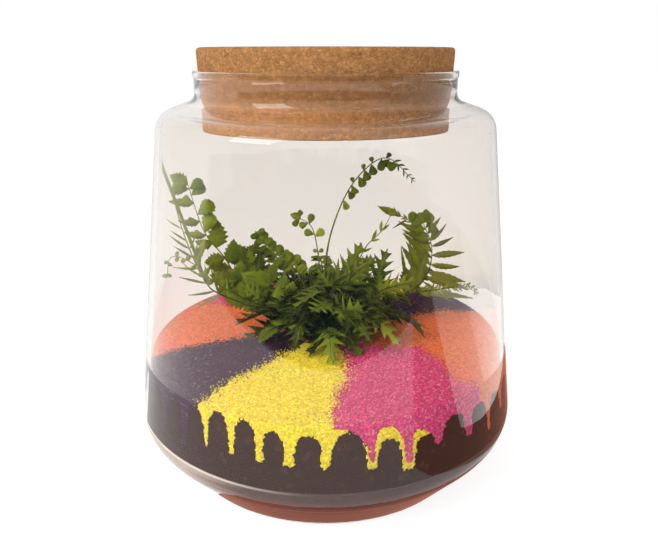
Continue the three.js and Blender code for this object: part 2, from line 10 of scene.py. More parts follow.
import bpy
import numpy as np
from bpy.props import FloatProperty, FloatVectorProperty, PointerProperty
from bpy.types import Operator, Panel, PropertyGroup
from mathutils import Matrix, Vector


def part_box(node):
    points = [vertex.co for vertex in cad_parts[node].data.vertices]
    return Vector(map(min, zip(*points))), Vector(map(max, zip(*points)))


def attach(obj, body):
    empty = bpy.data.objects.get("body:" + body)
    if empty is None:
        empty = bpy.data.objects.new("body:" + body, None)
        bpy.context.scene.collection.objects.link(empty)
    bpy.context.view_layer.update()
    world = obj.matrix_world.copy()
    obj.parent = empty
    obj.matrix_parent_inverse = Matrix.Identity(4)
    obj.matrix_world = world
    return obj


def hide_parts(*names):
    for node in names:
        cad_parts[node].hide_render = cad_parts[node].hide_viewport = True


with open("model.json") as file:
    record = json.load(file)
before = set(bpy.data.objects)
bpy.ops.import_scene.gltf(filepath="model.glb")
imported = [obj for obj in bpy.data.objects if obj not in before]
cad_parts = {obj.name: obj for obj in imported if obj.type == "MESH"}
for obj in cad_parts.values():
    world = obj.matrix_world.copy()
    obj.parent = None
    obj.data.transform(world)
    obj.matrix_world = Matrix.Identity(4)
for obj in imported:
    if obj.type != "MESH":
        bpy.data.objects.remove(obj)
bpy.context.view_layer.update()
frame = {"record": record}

bl_info = {
    "name": "Corked jar terrarium",
    "version": (1, 0, 0),
    "blender": (4, 5, 0),
    "location": "3D View > Sidebar > Terrarium",
    "description": "Builds a planted glass jar with a cork stopper and coloured sand",
    "category": "Add Mesh",
}

MM = 0.001

# Roundings of the jar, outside and inside
FOOT_ROUND = 4 * MM
HEEL_ROUND = 16 * MM
SHOULDER_ROUND = 10 * MM
NECK_ROUND = 5 * MM
FLOOR_ROUND = 4 * MM
RIM_BEAD = 0.4 * MM
RIM_BEAD_HEIGHT = 3 * MM
RIM_ROUND = 0.8 * MM
MOST_OF_STRETCH = 0.45
ROUND_STEPS = 10
JAR_SEGMENTS = 256

# Cork stopper
CORK_TAPER = 0.04
CORK_CLEARANCE = 0.4 * MM
CORK_TOP_ROUND = 2 * MM
CORK_FOOT_ROUND = 1 * MM
CORK_SEGMENTS = 320
CORK_STEP = 0.9 * MM
CORK_GRAIN, CORK_GRAIN_DEPTH = 2.2 * MM, 0.12 * MM
CORK_PIT, CORK_PIT_DEPTH = 1.9 * MM, 0.55 * MM

# Filling: wet filling overlaps the glass, so that no air shows there, and draws back where it is dry
FILL_GAP = 0.15 * MM
WET_CONTACT = -0.1 * MM
SAND_CONTACT = -0.35 * MM
DRY_GAP = 0.5 * MM
DRY_SIDE = (0.88, 0.98)
GRIT_LIP = 31 * MM
GRIT_STEP = 1.1 * MM
SOIL_SEGMENTS = 400
SOIL_STEP = 0.9 * MM
SOIL_TOP_ROWS = 40

# Plug of soil that the ferns grow from: radius, and height over the middle of the sand
PLUG = np.array([(0, -25), (16, -25), (21, -3), (19, 0.5), (12, 2), (0, 2.5)]) * MM
PLUG_SEGMENTS = 160
PLUG_STEP = 0.8 * MM

# Sand: its mesh, its layer over the soil and its loose grains
DRIP_SHELL = 0.6 * MM
SAND_COLUMN = 0.5 * MM
DOME_ROWS = 92
WALL_CELL = 0.4 * MM
WALL_ROWS = 64
SAND_DEPTH = 4 * MM
SAND_DEPTH_AT_GLASS = 0.8 * MM
SAND_THINS_OVER = 10 * MM
SAND_TILT = 1.6 * MM
SAND_HOLE = 20 * MM
CORNER_ROUNDS = 8
GRAIN = 0.33 * MM
GRAINS_PER_DEGREE = 22
STRAY_GRAINS = 150
STRAY_FROM_HOLE, STRAY_FROM_GLASS = 8 * MM, 1 * MM
STRAY_REACH, STRAY_GAP = 1.3 * MM, 0.3 * MM
WHITE_GRAIN = (0.9, 0.85, 0.85)

# Relief of the filling: size of the noise, how far it moves points, and its seed
SAND_LUMPS = (13 * MM, 0.5 * MM, 4)
PLUG_LUMPS = (4 * MM, 1.0 * MM, 31)
PLUG_CRUMBS = (1.5 * MM, 0.4 * MM, 32)
EDGE_GRAINS = (1.0 * MM, 0.7 * MM, 41)
EDGE_HEAPS = (6 * MM, 0.9 * MM, 42)
DOME_GRAINS = (1.3 * MM, 0.3 * MM, 43)
DRIP_GRAINS = (0.9 * MM, 0.7 * MM, 53)
DRIP_SPECKS = (0.45 * MM, 0.6 * MM, 54)

# First seeds of the loose grains, the fronds and the sprigs
GRAIN_SEED, FROND_SEED, SPRIG_SEED = 50, 100, 200

# Where each colour of sand starts: its azimuth at each of these distances from the axis
EDGE_RADII = np.array([22, 36, 50, 64, 76, 88]) * MM
SECTORS = [
    ("sand_purple_front", "purple", (-75, -75, -75, -75, -75, -72)),
    ("sand_yellow_front", "yellow", (-27, -32, -35, -38, -37, -36)),
    ("sand_pink_front", "pink", (14, 13, 11, 5, 2, 2)),
    ("sand_coral_right", "coral", (36, 46, 61, 53, 46, 48)),
    ("sand_purple_back", "purple", (98, 98, 106, 110, 108, 106)),
    ("sand_yellow_back", "yellow", (137, 137, 138, 137, 136, 137)),
    ("sand_pink_back", "pink", (186, 186, 184, 187, 186, 186)),
    ("sand_coral_left", "coral", (236, 236, 237, 237, 237, 237)),
]

# Numbers of the front sectors in that list
PURPLE, YELLOW, PINK = range(3)

# Sand drips on the glass: azimuth, height of the tip in mm and half the width in mm
FRONT_DRIPS = [
    (-70, 43, 1.5), (-60.5, 40, 1.3), (-51, 41, 1.5), (-41.5, 36, 0.9),
    (-33, 41, 1.1), (-25, 41.5, 1.3), (-17, 42.2, 1.6), (-9.2, 41.8, 1.9), (0.3, 41.6, 1.7),
    (12, 40.6, 2.1), (21.6, 37.6, 2.4), (31, 44.8, 2.0), (42, 41.5, 1.7), (52, 37.6, 1.2), (62, 41, 1.5),
]

# Drips round the back: how many, where they start, their pitch, and how their tips and half widths change
BACK_DRIPS = 22
BACK_DRIP_START = 72
BACK_DRIP_PITCH = 9.6
BACK_TIP, BACK_TIP_CHANGE = 40, 2.5
BACK_HALF, BACK_HALF_CHANGE = 1.6, 0.4

# Height of a drip's round tip as a share of half its width, and the power of the arches' superellipse
DRIP_TIP = 0.6
ARCH_POWER = 2.7

# Arches between drips: azimuth and height in mm
ARCHES = [
    (-77, 56), (-65, 55.5), (-46, 55.5), (-37, 57.5), (-29, 58), (-21, 57.6), (-13, 56), (-4.5, 55),
    (6, 56.6), (16.8, 52), (26.5, 50), (36.5, 54.4), (47, 53.4), (57, 52), (68, 53),
    (90, 55.5), (180, 55), (270, 55.5),
]

# Front sand that ends over a lining of its neighbour's colour, as far as an azimuth: pink over yellow, and
# yellow over purple
PINK_DRIPS = [(12, 43, 1.0), (21.6, 40.4, 1.3), (31, 44.8, 1.9), (42, 41.5, 1.7), (52, 37.6, 1.2)]
PINK_ARCHES = [(0, 61), (6, 61), (16.8, 57), (25.5, 53), (29, 51), (36.5, 54.4), (47, 53.4), (60, 52)]
PINK_LINED = 29.5
YELLOW_DRIPS = [(-33, 42.5, 0.9), (-25, 42.6, 1.1), (-17, 42.6, 1.5), (-9.2, 41.8, 1.9), (0.3, 41.6, 1.7)]
YELLOW_ARCHES = [(-40, 58.6), (-29, 59), (-21, 58.7), (-16, 56.8), (-13, 56), (-4.5, 55), (6, 56.6)]
YELLOW_LINED = -15

# Ferns: their room in the jar, their stems, and how thick and how slim their leaves are
LEAF_CLEARANCE = 1 * MM
SOCKET_DEPTH = 2 * MM
STEM_LIP = 4 * MM
STEM_SIDES = 6
STEM_STEPS = 48
STEM_RADIUS = 0.65 * MM
STEM_TAPER = 0.75
LEAF_HALF_THICKNESS = 0.11 * MM
SLIM_LEAVES = {"lance": 0.16, "spear": 0.115, "blade": 0.06, "ribbon": 0.013}
UP = np.array([0.0, 0.0, 1.0])

# Direction that no stem takes, which turns the rings of a stem
ASKEW = np.array([0.31, 0.17, 0.93])

# Tone that marks the points of a stem, and the last share of a stem where leaflets sit
STEM_TONE = -1.0
LAST_SPOT = 0.985

# How unevenly leaflets grow
LEAF_TWIST = 0.4
LEAF_FOLD = (0.1, 0.45)
LEAF_CURL = (-0.05, 0.28)
LEAF_WANDER = 0.2
LEAF_LEAN = (0.75, 1.25)
LEAF_STRAY = 0.13
LEAF_LENGTH = (0.86, 1.12)
LEAF_TONE = 0.1

# Where leaflets sit on their stem, seen from the front: side of the stem, or 0 for the leaf that ends it
LEFT, RIGHT, PAIR, TIP = (-1.0,), (1.0,), (-1.0, 1.0), (0.0,)
# Added to a tone, this makes leaves olive
OLD = 2

# Way that the leaves of upright fronds face; the other fronds arch outwards, level from side to side
FRONT = np.array([0.0, -0.94, 0.34])
UPRIGHT, ARCHING = True, False


def end_leaf(kind, start, tone, size=0):
    """Leaf from a share of the stem towards its end: size in mm, or 0 to reach that end."""
    return kind, TIP, 1, start, start, size, size, 0, tone


def leaf_at(kind, where, spot, size, lean, tone):
    """One leaflet, or one pair, at a share of the stem."""
    return kind, where, 1, spot, spot, size, size, lean, tone


# Each frond: root (azimuth, distance in mm), points (azimuth, reach, rise), how it stands, and groups of
# leaflets: shape, where, how many, share of the stem where they start and end, length in mm there and
# there, lean along the stem, and tone from dark 0, which is painted shade, to lime 1
FRONDS = {
    "frond_left_tall": (
        (-88, 12),
        [(-86, 0.36, 0.12), (-86, 0.5, 0.22), (-84, 0.61, 0.38), (-84, 0.74, 0.52), (-85, 0.86, 0.77)],
        UPRIGHT, [
            ("holly", PAIR, 2, 0.32, 0.4, 13, 13, 0.5, 0.4),
            ("holly", LEFT, 4, 0.44, 0.66, 14, 9, 0.7, OLD + 0.45),
            ("holly", RIGHT, 3, 0.44, 0.63, 12, 14, 0.9, 0.5),
            ("fan", RIGHT, 3, 0.73, 0.91, 9, 8, 0.6, 0.5),
            ("eared", LEFT, 3, 0.71, 0.88, 11, 10.5, 0.45, 0.55),
            leaf_at("fan", PAIR, 0.95, 8, 0.5, 0.5), leaf_at("holly", LEFT, 0.97, 9, 1.3, 0.6)]),
    "frond_left_grassy": (
        (-70, 12.5), [(-75, 0.61, 0.21), (-74, 0.73, 0.31), (-72, 0.85, 0.53), (-75, 0.95, 0.78)],
        UPRIGHT, [
            ("blade", LEFT, 9, 0.45, 0.8, 14, 8, 0.9, 0.65),
            ("blade", RIGHT, 7, 0.42, 0.72, 12, 8, 1.0, 0.6),
            end_leaf("ribbon", 0.55, 0.75, 56), leaf_at("lance", RIGHT, 0.65, 13, 1.5, 0.65)]),
    "frond_left_low": (
        (-54, 13), [(-60, 0.65, 0.3), (-63, 0.82, 0.43), (-67, 0.93, 0.46), (-67, 0.95, 0.36)],
        UPRIGHT, [("round", PAIR, 8, 0.6, 0.97, 3.2, 2.2, 0.5, 0.55)]),
    "frond_centre_left": (
        (-112, 10.5), [(-131, 0.19, 0.2), (-126, 0.29, 0.29), (-119, 0.42, 0.36), (-117, 0.5, 0.44)],
        UPRIGHT, [
            ("round", RIGHT, 12, 0.42, 0.97, 7, 4.5, 0.2, 0.42),
            ("round", LEFT, 10, 0.45, 0.97, 6, 4, 0.3, 0.36),
            leaf_at("lance", LEFT, 0.78, 15, 1.2, 0.2), end_leaf("holly", 0.88, 0.42, 8)]),
    "small_stem": (
        (-150, 4.5), [(-151, 0.08, 0.28), (-145, 0.09, 0.39), (-130, 0.12, 0.51), (-104, 0.21, 0.57)],
        UPRIGHT, [
            leaf_at("fan", PAIR, 0.61, 3, 0.5, 0.5), ("fan", PAIR, 3, 0.75, 0.95, 5, 4.6, 0.5, 0.55),
            end_leaf("holly", 0.93, 0.6, 6)]),
    "tall_arching_stem": (
        (170, 7),
        [(179, 0.15, 0.31), (155, 0.17, 0.55), (124, 0.24, 0.74), (100, 0.39, 0.85), (92, 0.56, 0.74)],
        UPRIGHT, [
            ("fan", RIGHT, 9, 0.57, 0.9, 5.5, 5.5, -0.4, 0.45),
            ("fan", LEFT, 4, 0.66, 0.84, 3, 3, 0.9, 0.45),
            ("lance", PAIR, 5, 0.88, 0.98, 4, 2, 1.0, 0.5)]),
    "frond_right_upright": (
        (112, 12.5), [(110, 0.4, 0.08), (108, 0.64, 0.17), (108, 0.72, 0.35), (109, 0.64, 0.55)],
        UPRIGHT, [
            ("spear", RIGHT, 7, 0.58, 0.87, 21, 10, 0.14, OLD + 0.45),
            leaf_at("blade", RIGHT, 0.56, 18, 0.1, OLD + 0.4),
            ("spear", LEFT, 9, 0.48, 0.84, 20, 18, 0.7, OLD + 0.5),
            ("holly", LEFT, 3, 0.42, 0.56, 13, 13, 0.7, OLD + 0.55),
            ("fan", PAIR, 5, 0.82, 0.97, 6.5, 6, 0.5, 0.5), end_leaf("fan", 0.93, 0.6, 6)]),
    "frond_right_curved": (
        (140, 12.5), [(126, 0.6, 0.1), (122, 0.79, 0.3), (125, 0.75, 0.44), (136, 0.5, 0.56)],
        UPRIGHT, [
            ("blade", LEFT, 8, 0.45, 0.82, 18, 10, 0.7, OLD + 0.55),
            ("lance", RIGHT, 4, 0.38, 0.55, 13, 11, 0.4, OLD + 0.55),
            ("lance", PAIR, 4, 0.8, 0.9, 3.5, 3.5, 1.6, OLD + 0.7), end_leaf("lance", 0.88, OLD + 0.75)]),
    "frond_right_low": (
        (88, 12.5), [(90, 0.38, 0.14), (94, 0.6, 0.17), (96, 0.9, 0.18), (96, 0.945, 0.13)],
        UPRIGHT, [end_leaf("blade", 0.55, 0.6), ("lance", PAIR, 18, 0.56, 0.97, 5, 2.5, 1.1, 0.6)]),
    "leaf_right_pale": (
        (54, 11), [(50, 0.26, 0.12), (48, 0.4, 0.17), (49, 0.55, 0.09)],
        ARCHING, [end_leaf("cut", 0.42, 0.9), leaf_at("cut", PAIR, 0.5, 10, 0.6, 0.8)]),
    "leaf_centre_top": (
        (30, 4), [(31, 0.09, 0.24), (55, 0.18, 0.32), (71, 0.3, 0.38)],
        UPRIGHT, [end_leaf("cut", 0.48, 0.18), leaf_at("cut", PAIR, 0.5, 11, 0.7, 0.14)]),
    "leaf_right_mid": (
        (95, 7), [(95, 0.27, 0.15), (98, 0.34, 0.27), (101, 0.39, 0.39)],
        UPRIGHT, [end_leaf("cut", 0.55, 0.2), leaf_at("cut", PAIR, 0.55, 10, 0.7, 0.16)]),
    "leaf_front_left": (
        (-24, 12), [(-21, 0.33, 0.16), (-20, 0.43, 0.15), (-19, 0.54, 0.09)],
        ARCHING, [end_leaf("cut", 0.55, 0.2), ("cut", PAIR, 2, 0.45, 0.6, 9, 8, 0.6, 0.12)]),
    "leaf_front": (
        (2, 13), [(3, 0.35, 0.12), (3, 0.45, 0.09), (3, 0.55, 0.04)],
        ARCHING, [end_leaf("cut", 0.5, 0.16), ("cut", PAIR, 2, 0.45, 0.65, 9, 7, 0.6, 0.1)]),
    "leaf_front_right": (
        (28, 13), [(28, 0.36, 0.15), (27, 0.46, 0.14), (26, 0.55, 0.09)],
        ARCHING, [end_leaf("cut", 0.52, 0.24), ("cut", PAIR, 2, 0.45, 0.6, 9, 8, 0.6, 0.12)]),
    "leaf_left_low": (
        (-46, 9), [(-42, 0.26, 0.08), (-40, 0.43, 0.11), (-40, 0.56, 0.08)],
        ARCHING, [end_leaf("holly", 0.72, 0.25), leaf_at("holly", PAIR, 0.48, 11, 0.4, 0.5)]),
    "leaf_left_mid": (
        (-66, 7), [(-70, 0.27, 0.19), (-66, 0.42, 0.3), (-63, 0.53, 0.34)],
        UPRIGHT, [end_leaf("holly", 0.68, 0.52), ("holly", PAIR, 3, 0.42, 0.7, 12, 11, 0.5, 0.45)]),
    "frond_back": (
        (-178, 13), [(-178, 0.4, 0.12), (-177, 0.6, 0.19), (-177, 0.8, 0.15)],
        ARCHING, [("round", PAIR, 10, 0.3, 0.97, 10, 5, 0.3, 0.45)]),
    "frond_back_left": (
        (-146, 13), [(-146, 0.45, 0.16), (-146, 0.62, 0.24), (-147, 0.8, 0.2)],
        ARCHING, [("lance", PAIR, 10, 0.3, 0.97, 13, 7, 0.4, OLD + 0.35)]),
    "frond_back_right": (
        (158, 12), [(158, 0.4, 0.14), (158, 0.58, 0.2), (157, 0.75, 0.15)],
        ARCHING, [("cut", PAIR, 5, 0.35, 0.85, 11, 8, 0.5, 0.35), end_leaf("cut", 0.75, 0.35)]),
}

# Small leaves that grow between the fronds, written as the fronds are
SPRIGS = [
    ((85, 10), [(80, 0.28, 0.16), (78, 0.36, 0.22), (80, 0.55, 0.27)],
     UPRIGHT, [end_leaf("cut", 0.6, OLD + 0.55), ("cut", PAIR, 2, 0.4, 0.6, 11, 10, 0.6, 0.42)]),
    ((130, 9), [(134, 0.21, 0.18), (122, 0.29, 0.37), (113, 0.39, 0.47), (110, 0.45, 0.56)],
     UPRIGHT, [("lance", PAIR, 5, 0.5, 0.96, 6, 5, 1.8, 0.68)]),
    ((57, 6), [(57, 0.14, 0.22), (58, 0.19, 0.31), (66, 0.31, 0.39)],
     UPRIGHT, [end_leaf("cut", 0.58, 0.18)]),
    ((74, 4), [(74, 0.09, 0.23), (80, 0.15, 0.33), (83, 0.22, 0.43)],
     UPRIGHT, [end_leaf("cut", 0.52, 0.26)]),
    ((14, 12), [(10, 0.28, 0.1), (2, 0.36, 0.1), (-13, 0.44, 0.04)],
     ARCHING, [end_leaf("cut", 0.4, 0.22)]),
    ((18, 12), [(16, 0.27, 0.1), (16, 0.38, 0.1), (23, 0.47, 0.04)],
     ARCHING, [end_leaf("cut", 0.4, 0.16)]),
    ((68, 13), [(69, 0.34, 0.13), (66, 0.47, 0.12), (67, 0.63, 0.07)],
     ARCHING, [end_leaf("holly", 0.6, 0.2)]),
    ((0, 6), [(8, 0.17, 0.2), (-11, 0.3, 0.3), (-28, 0.39, 0.26)],
     ARCHING, [end_leaf("cut", 0.6, 0.36), leaf_at("cut", PAIR, 0.5, 9, 0.6, 0.22)]),
    ((14, 8), [(18, 0.18, 0.17), (4, 0.32, 0.24), (-10, 0.43, 0.22)],
     ARCHING, [end_leaf("cut", 0.5, 0.3)]),
    ((8, 9), [(7, 0.2, 0.11), (17, 0.36, 0.19), (25, 0.46, 0.24)],
     UPRIGHT, [end_leaf("cut", 0.45, 0.32)]),
    ((-62, 10), [(-62, 0.37, 0.2), (-60, 0.5, 0.22), (-60, 0.55, 0.31)],
     UPRIGHT, [end_leaf("cut", 0.7, 0.5), ("holly", PAIR, 3, 0.3, 0.7, 10, 9, 0.6, 0.36)]),
    ((-80, 9), [(-80, 0.3, 0.14), (-80, 0.45, 0.22), (-78, 0.58, 0.33)],
     UPRIGHT, [end_leaf("holly", 0.7, OLD + 0.5), ("holly", PAIR, 4, 0.45, 0.85, 11, 10, 0.6, 0.48)]),
    ((-98, 10), [(-98, 0.3, 0.16), (-96, 0.44, 0.28), (-93, 0.56, 0.42)],
     UPRIGHT, [end_leaf("holly", 0.75, 0.5), ("holly", PAIR, 3, 0.55, 0.85, 10, 9, 0.6, 0.42)]),
]

# Small leaves that fill the middle of the ferns: name, slot, tone, how many and the seed of their places
# Their low tones are painted shade for the inside of the clump
CROWNS = [
    ("crown_dark", "leaf_dark", 0.03, 38, 3), ("crown_mid", "leaf_dark", 0.15, 34, 5),
    ("crown_lime", "leaf_mid", 0.3, 9, 8),
]

# Their stalks: distance of the root in mm, sway in degrees, and shares of the room that they reach and rise
CROWN_ROOT = (3, 13)
CROWN_SWAY = 9
CROWN_REACH = (0.1, 0.46)
CROWN_WIDER = 0.16
CROWN_RISE = (0.1, 0.3)
GOLDEN_ANGLE = 137.5

# Camera: eye, tilt, and lens and sensor in mm
EYE = Vector((0, -0.296, 0.193))
TILT = math.radians(19.57)
LENS = 34.9
SENSOR = 36
SHIFT = 0.0052
NEAREST = 0.01

# Studio: half the floor's width, the softboxes' places and width, and what they point at
FLOOR_HALF = 6.0
KEY_PLACE, FILL_PLACE = (-1.0, -0.85, 0.95), (0.9, -0.5, 0.9)
LAMP_WIDTH = 0.8
LAMP_TARGET = Vector((0, 0, 0.08))


def upright_card(start, end, top):
    """Corners of a card that stands on the floor from one place to another."""
    return [(*start, 0), (*end, 0), (*end, top), (*start, top)]


def floor_card(places):
    """Corners of a card that lies on the floor."""
    return [(x, y, 0) for x, y in places]


# Cards that the glass mirrors: colours, place of the bright one, and the round one under the jar
PALE, WARM, COOL = (1, 0.98, 0.96), (1, 0.42, 0.3), (0.5, 1, 1.25)
RIGHT_CARD = 0.165
FOOT_REACH, FOOT_LEFT = 0.094, -0.05
FOOT_TURNS = np.arange(24) * math.tau / 24

# Each card: name, colour, brightness in front and at the back, and corners
CARDS = [
    ("right_card", PALE, 2.2, 0.8, [(RIGHT_CARD, y, z) for y, z in (
        (-0.08, 0), (0.3, 0), (0.3, 0.02), (0.08, 0.045), (0, 0.074), (-0.06, 0.087), (-0.13, 0.088))]),
    ("right_shade", PALE, 0.26, 0.6, upright_card((0.18, -0.16), (0.18, 0.6), 1.2)),
    ("floor_shade", WARM, 0.5, 0.5, floor_card(
        [(0.1, -0.137), (0.9, -0.724), (1.5, -0.001), (0.1, -0.001)])),
    ("back_shade", WARM, 0.5, 0.5, floor_card([(0.1, -0.001), (1.5, -0.001), (1.5, 0.3), (0.1, 0.1)])),
    ("foot_shade", WARM, 0.5, 0.5, floor_card(
        [(max(FOOT_LEFT, FOOT_REACH * math.sin(a)), -FOOT_REACH * math.cos(a)) for a in FOOT_TURNS])),
    ("front_shade", COOL, 0.1, 0.1, upright_card((-0.35, -0.43), (0.9, -0.41), 0.22)),
    ("left_shade", COOL, 0.1, 0.1, upright_card((-0.95, -0.25), (-0.35, -0.43), 0.22)),
]

# How far cards lie over the floor, and where they change from front to back
CARD_LIFT = 0.5 * MM
CARD_BACK = (-0.04, 0.12)


def srgb(code):
    """Linear red, green and blue of a colour written as six hexadecimal digits."""
    shares = np.array([int(code[i:i + 2], 16) for i in (0, 2, 4)]) / 255
    return tuple(np.where(shares <= 0.04045, shares / 12.92, ((shares + 0.055) / 1.055) ** 2.4).tolist())


def length(name, description, default):
    """Property of a length."""
    return FloatProperty(
        name=name, description=description, default=default, min=0, unit="LENGTH", precision=4)


def power(name, description, default):
    """Property of a lamp's power."""
    return FloatProperty(name=name, description=description, default=default, min=0, unit="POWER")


def colour(name, description, code):
    """Property of a colour, from its six hexadecimal digits."""
    return FloatVectorProperty(
        name=name, description=description, default=srgb(code), size=3, min=0, max=1, subtype="COLOR")


class JarSizes(PropertyGroup):
    """Sizes of the glass jar, to the corners of its outline."""

    foot_radius: length("Foot radius", "Radius of the flat foot", 71 * MM)
    heel_radius: length("Heel radius", "Radius at the widest corner", 92.5 * MM)
    heel_height: length("Heel height", "Height of the widest corner", 26 * MM)
    shoulder_radius: length("Shoulder radius", "Radius where the body turns in", 74.4 * MM)
    shoulder_height: length("Shoulder height", "Height where the body turns in", 168 * MM)
    neck_radius: length("Neck radius", "Outer radius of the neck", 57.6 * MM)
    neck_height: length("Neck height", "Height where the neck starts", 173.7 * MM)
    height: length("Height", "Height of the rim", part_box("glass_jar")[1].z)
    floor: length("Floor", "Thickness of the floor", 3 * MM)
    wall: length("Wall", "Thickness of the body's wall", 2.3 * MM)
    neck_wall: length("Neck wall", "Thickness of the neck's wall", 1.7 * MM)


class FillSizes(PropertyGroup):
    """Heights of the filling and of the cork."""

    drainage_top: length("Drainage top", "Top of the grit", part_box("drainage_layer")[1].z)
    sand_edge: length("Sand edge", "Height of the sand at the glass", 59.5 * MM)
    sand_rise: length("Sand rise", "How much higher the sand is at the middle", 4 * MM)
    cork_foot: length("Cork foot", "Lower face of the cork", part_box("cork_lid")[0].z)
    cork_top: length("Cork top", "Upper face of the cork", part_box("cork_lid")[1].z)


class Colours(PropertyGroup):
    """Colours of the finishes."""

    glass: colour("Glass", "Tint of the glass", "f2eeea")
    cork: colour("Cork", "Middle tone of the cork granules", "b98553")
    grit: colour("Grit", "Drainage grit", "80463c")
    soil: colour("Soil", "Middle tone of the soil", "402a24")
    purple: colour("Purple sand", "Dyed purple sand", "4a2c46")
    yellow: colour("Yellow sand", "Dyed yellow sand", "f8de3c")
    pink: colour("Pink sand", "Dyed pink sand", "dc4a80")
    coral: colour("Coral sand", "Dyed coral sand", "ec7a46")
    # Dark leaf and Leaf are the leaves' green painted in shade and in light
    leaf_dark: colour("Dark leaf", "Shaded old leaves", "181f0a")
    leaf: colour("Leaf", "Leaves in the light", "6f8220")
    leaf_lime: colour("Lime leaf", "Young leaves", "a4ac34")
    leaf_old: colour("Old leaf", "Olive leaves", "767c1e")
    stem: colour("Stem", "Stems of the ferns", "868840")


class Light(PropertyGroup):
    """Levels of the studio light."""

    key: power("Key", "Softbox at the upper left", 17)
    fill: power("Fill", "Softbox at the upper right", 2.5)
    ambient: FloatProperty(name="Ambient", description="Light from all round", default=0.55, min=0)
    card: FloatProperty(name="Cards", description="Cards that the glass mirrors", default=1.0, min=0)


# Points, noise and curves

SCATTER = np.array([127.1, 311.7, 74.7])
SCATTER_SEED, SCATTER_SCALE = 53.3, 43758.5453
SPLINE_STEPS = 40


def at_azimuth(azimuth, radius, height):
    """Points at an azimuth, a distance from the jar's axis and a height."""
    turn, radius, height = np.broadcast_arrays(np.radians(azimuth), radius, height)
    return np.stack([radius * np.sin(turn), -radius * np.cos(turn), height], axis=-1)


def lattice(corner, seed):
    """Random number from -1 to 1 for each whole-number corner: the fraction of a large sine."""
    wave = np.sin(corner @ SCATTER + SCATTER_SEED * seed) * SCATTER_SCALE
    return 2 * (wave - np.floor(wave)) - 1


def noise(points, size, seed):
    """Smooth noise from -1 to 1: random numbers on a cubic lattice of a given size, blended in between."""
    spot = points / size
    corner = np.floor(spot)
    share = spot - corner
    share = share * share * (3 - 2 * share)
    total = np.zeros(points.shape[:-1])
    for step in np.ndindex(2, 2, 2):
        weight = np.where(step, share, 1 - share).prod(axis=-1)
        total += weight * lattice(corner + np.array(step), seed)
    return total


def relief(points, size, depth, seed):
    """Noise of a size that moves points by up to a depth."""
    return depth * noise(points, size, seed)


def unit(vectors):
    """Vectors made 1 long."""
    return vectors / np.maximum(np.linalg.norm(vectors, axis=-1, keepdims=True), 1e-12)


def smooth(low, high, value):
    """Share from 0 at low to 1 at high, with a soft start and end."""
    share = np.clip((value - low) / (high - low), 0, 1)
    return share * share * (3 - 2 * share)


def distances(points):
    """How far along a line of points each of them comes."""
    return np.concatenate([[0], np.cumsum(np.linalg.norm(np.diff(points, axis=0), axis=1))])


def between(spots, places, points):
    """Points at spots along a line of points, whose places along it are given."""
    return np.stack([np.interp(spots, places, column) for column in points.T], axis=1)


def evened(outline, step):
    """Outline with extra points, so that none are more than a step apart."""
    walked = distances(outline)
    fine = np.unique(np.concatenate([walked, np.arange(0, walked[-1], step)]))
    fine = fine[np.concatenate([[True], np.diff(fine) > step / 20])]
    return between(fine, walked, outline)


def spline(points, count):
    """Even points and directions along a Catmull-Rom curve through the given points."""
    ends = np.concatenate([[2 * points[0] - points[1]], points, [2 * points[-1] - points[-2]]])
    spans = len(points) - 1
    steps = np.linspace(0, spans, SPLINE_STEPS * spans + 1)
    first = np.minimum(steps.astype(int), spans - 1)
    t = (steps - first)[:, None]
    a, b, c, d = (ends[first + k] for k in range(4))
    fine = 0.5 * (2 * b + (c - a) * t + (2 * a - 5 * b + 4 * c - d) * t**2 + (3 * b - a - 3 * c + d) * t**3)
    walked = distances(fine)
    path = between(np.linspace(0, walked[-1], count), walked, fine)
    return path, unit(np.gradient(path, axis=0))


# Meshes

class Surface:
    """Closed bodies gathered into one mesh, each with its faces turned outwards."""

    def __init__(self):
        self.points = []
        self.quads = []
        self.triangles = []
        self.marks = []
        self.count = 0

    def add(self, points, quads, triangles=None, marks=None):
        """Adds one body, or many alike; marks are three numbers a point for its material."""
        points = points.reshape(-1, 3)
        triangles = np.zeros((0, 3), int) if triangles is None else triangles
        halves = np.concatenate([quads[:, [0, 1, 2]], quads[:, [0, 2, 3]], triangles])
        a, b, c = (points[halves[:, k]] for k in range(3))
        volume = np.einsum("ij,ij->", a - points[0], np.cross(b - points[0], c - points[0]))
        if volume < 0:
            quads = quads[:, ::-1]
            triangles = triangles[:, ::-1]
        self.points.append(points)
        self.quads.append(quads + self.count)
        self.triangles.append(triangles + self.count)
        self.marks.append(np.zeros((len(points), 3)) if marks is None else marks.reshape(-1, 3))
        self.count += len(points)

    def mesh(self, name):
        """Mesh of all the bodies, with the marks as an attribute of its points."""
        quads = np.concatenate(self.quads)
        triangles = np.concatenate(self.triangles)
        corners = np.concatenate([quads.ravel(), triangles.ravel()]).astype(np.int32)
        starts = np.concatenate([4 * np.arange(len(quads)), 4 * len(quads) + 3 * np.arange(len(triangles))])
        mesh = bpy.data.meshes.new(name)
        mesh.vertices.add(self.count)
        mesh.vertices.foreach_set("co", np.concatenate(self.points).astype(np.float32).ravel())
        mesh.loops.add(len(corners))
        mesh.loops.foreach_set("vertex_index", corners)
        mesh.polygons.add(len(starts))
        mesh.polygons.foreach_set("loop_start", starts.astype(np.int32))
        mesh.polygons.foreach_set("use_smooth", np.ones(len(starts), bool))
        mesh.update(calc_edges=True)
        marks = mesh.attributes.new("marks", "FLOAT_VECTOR", "POINT")
        marks.data.foreach_set("vector", np.concatenate(self.marks).astype(np.float32).ravel())
        mesh.validate()
        return mesh


def grid_quads(rows, columns, around=False):
    """Quads of a grid of points; around joins the last column to the first."""
    index = np.arange(rows * columns).reshape(rows, columns)
    if around:
        index = np.concatenate([index, index[:, :1]], axis=1)
    corners = (index[:-1, :-1], index[:-1, 1:], index[1:, 1:], index[1:, :-1])
    return np.stack(corners, axis=-1).reshape(-1, 4)


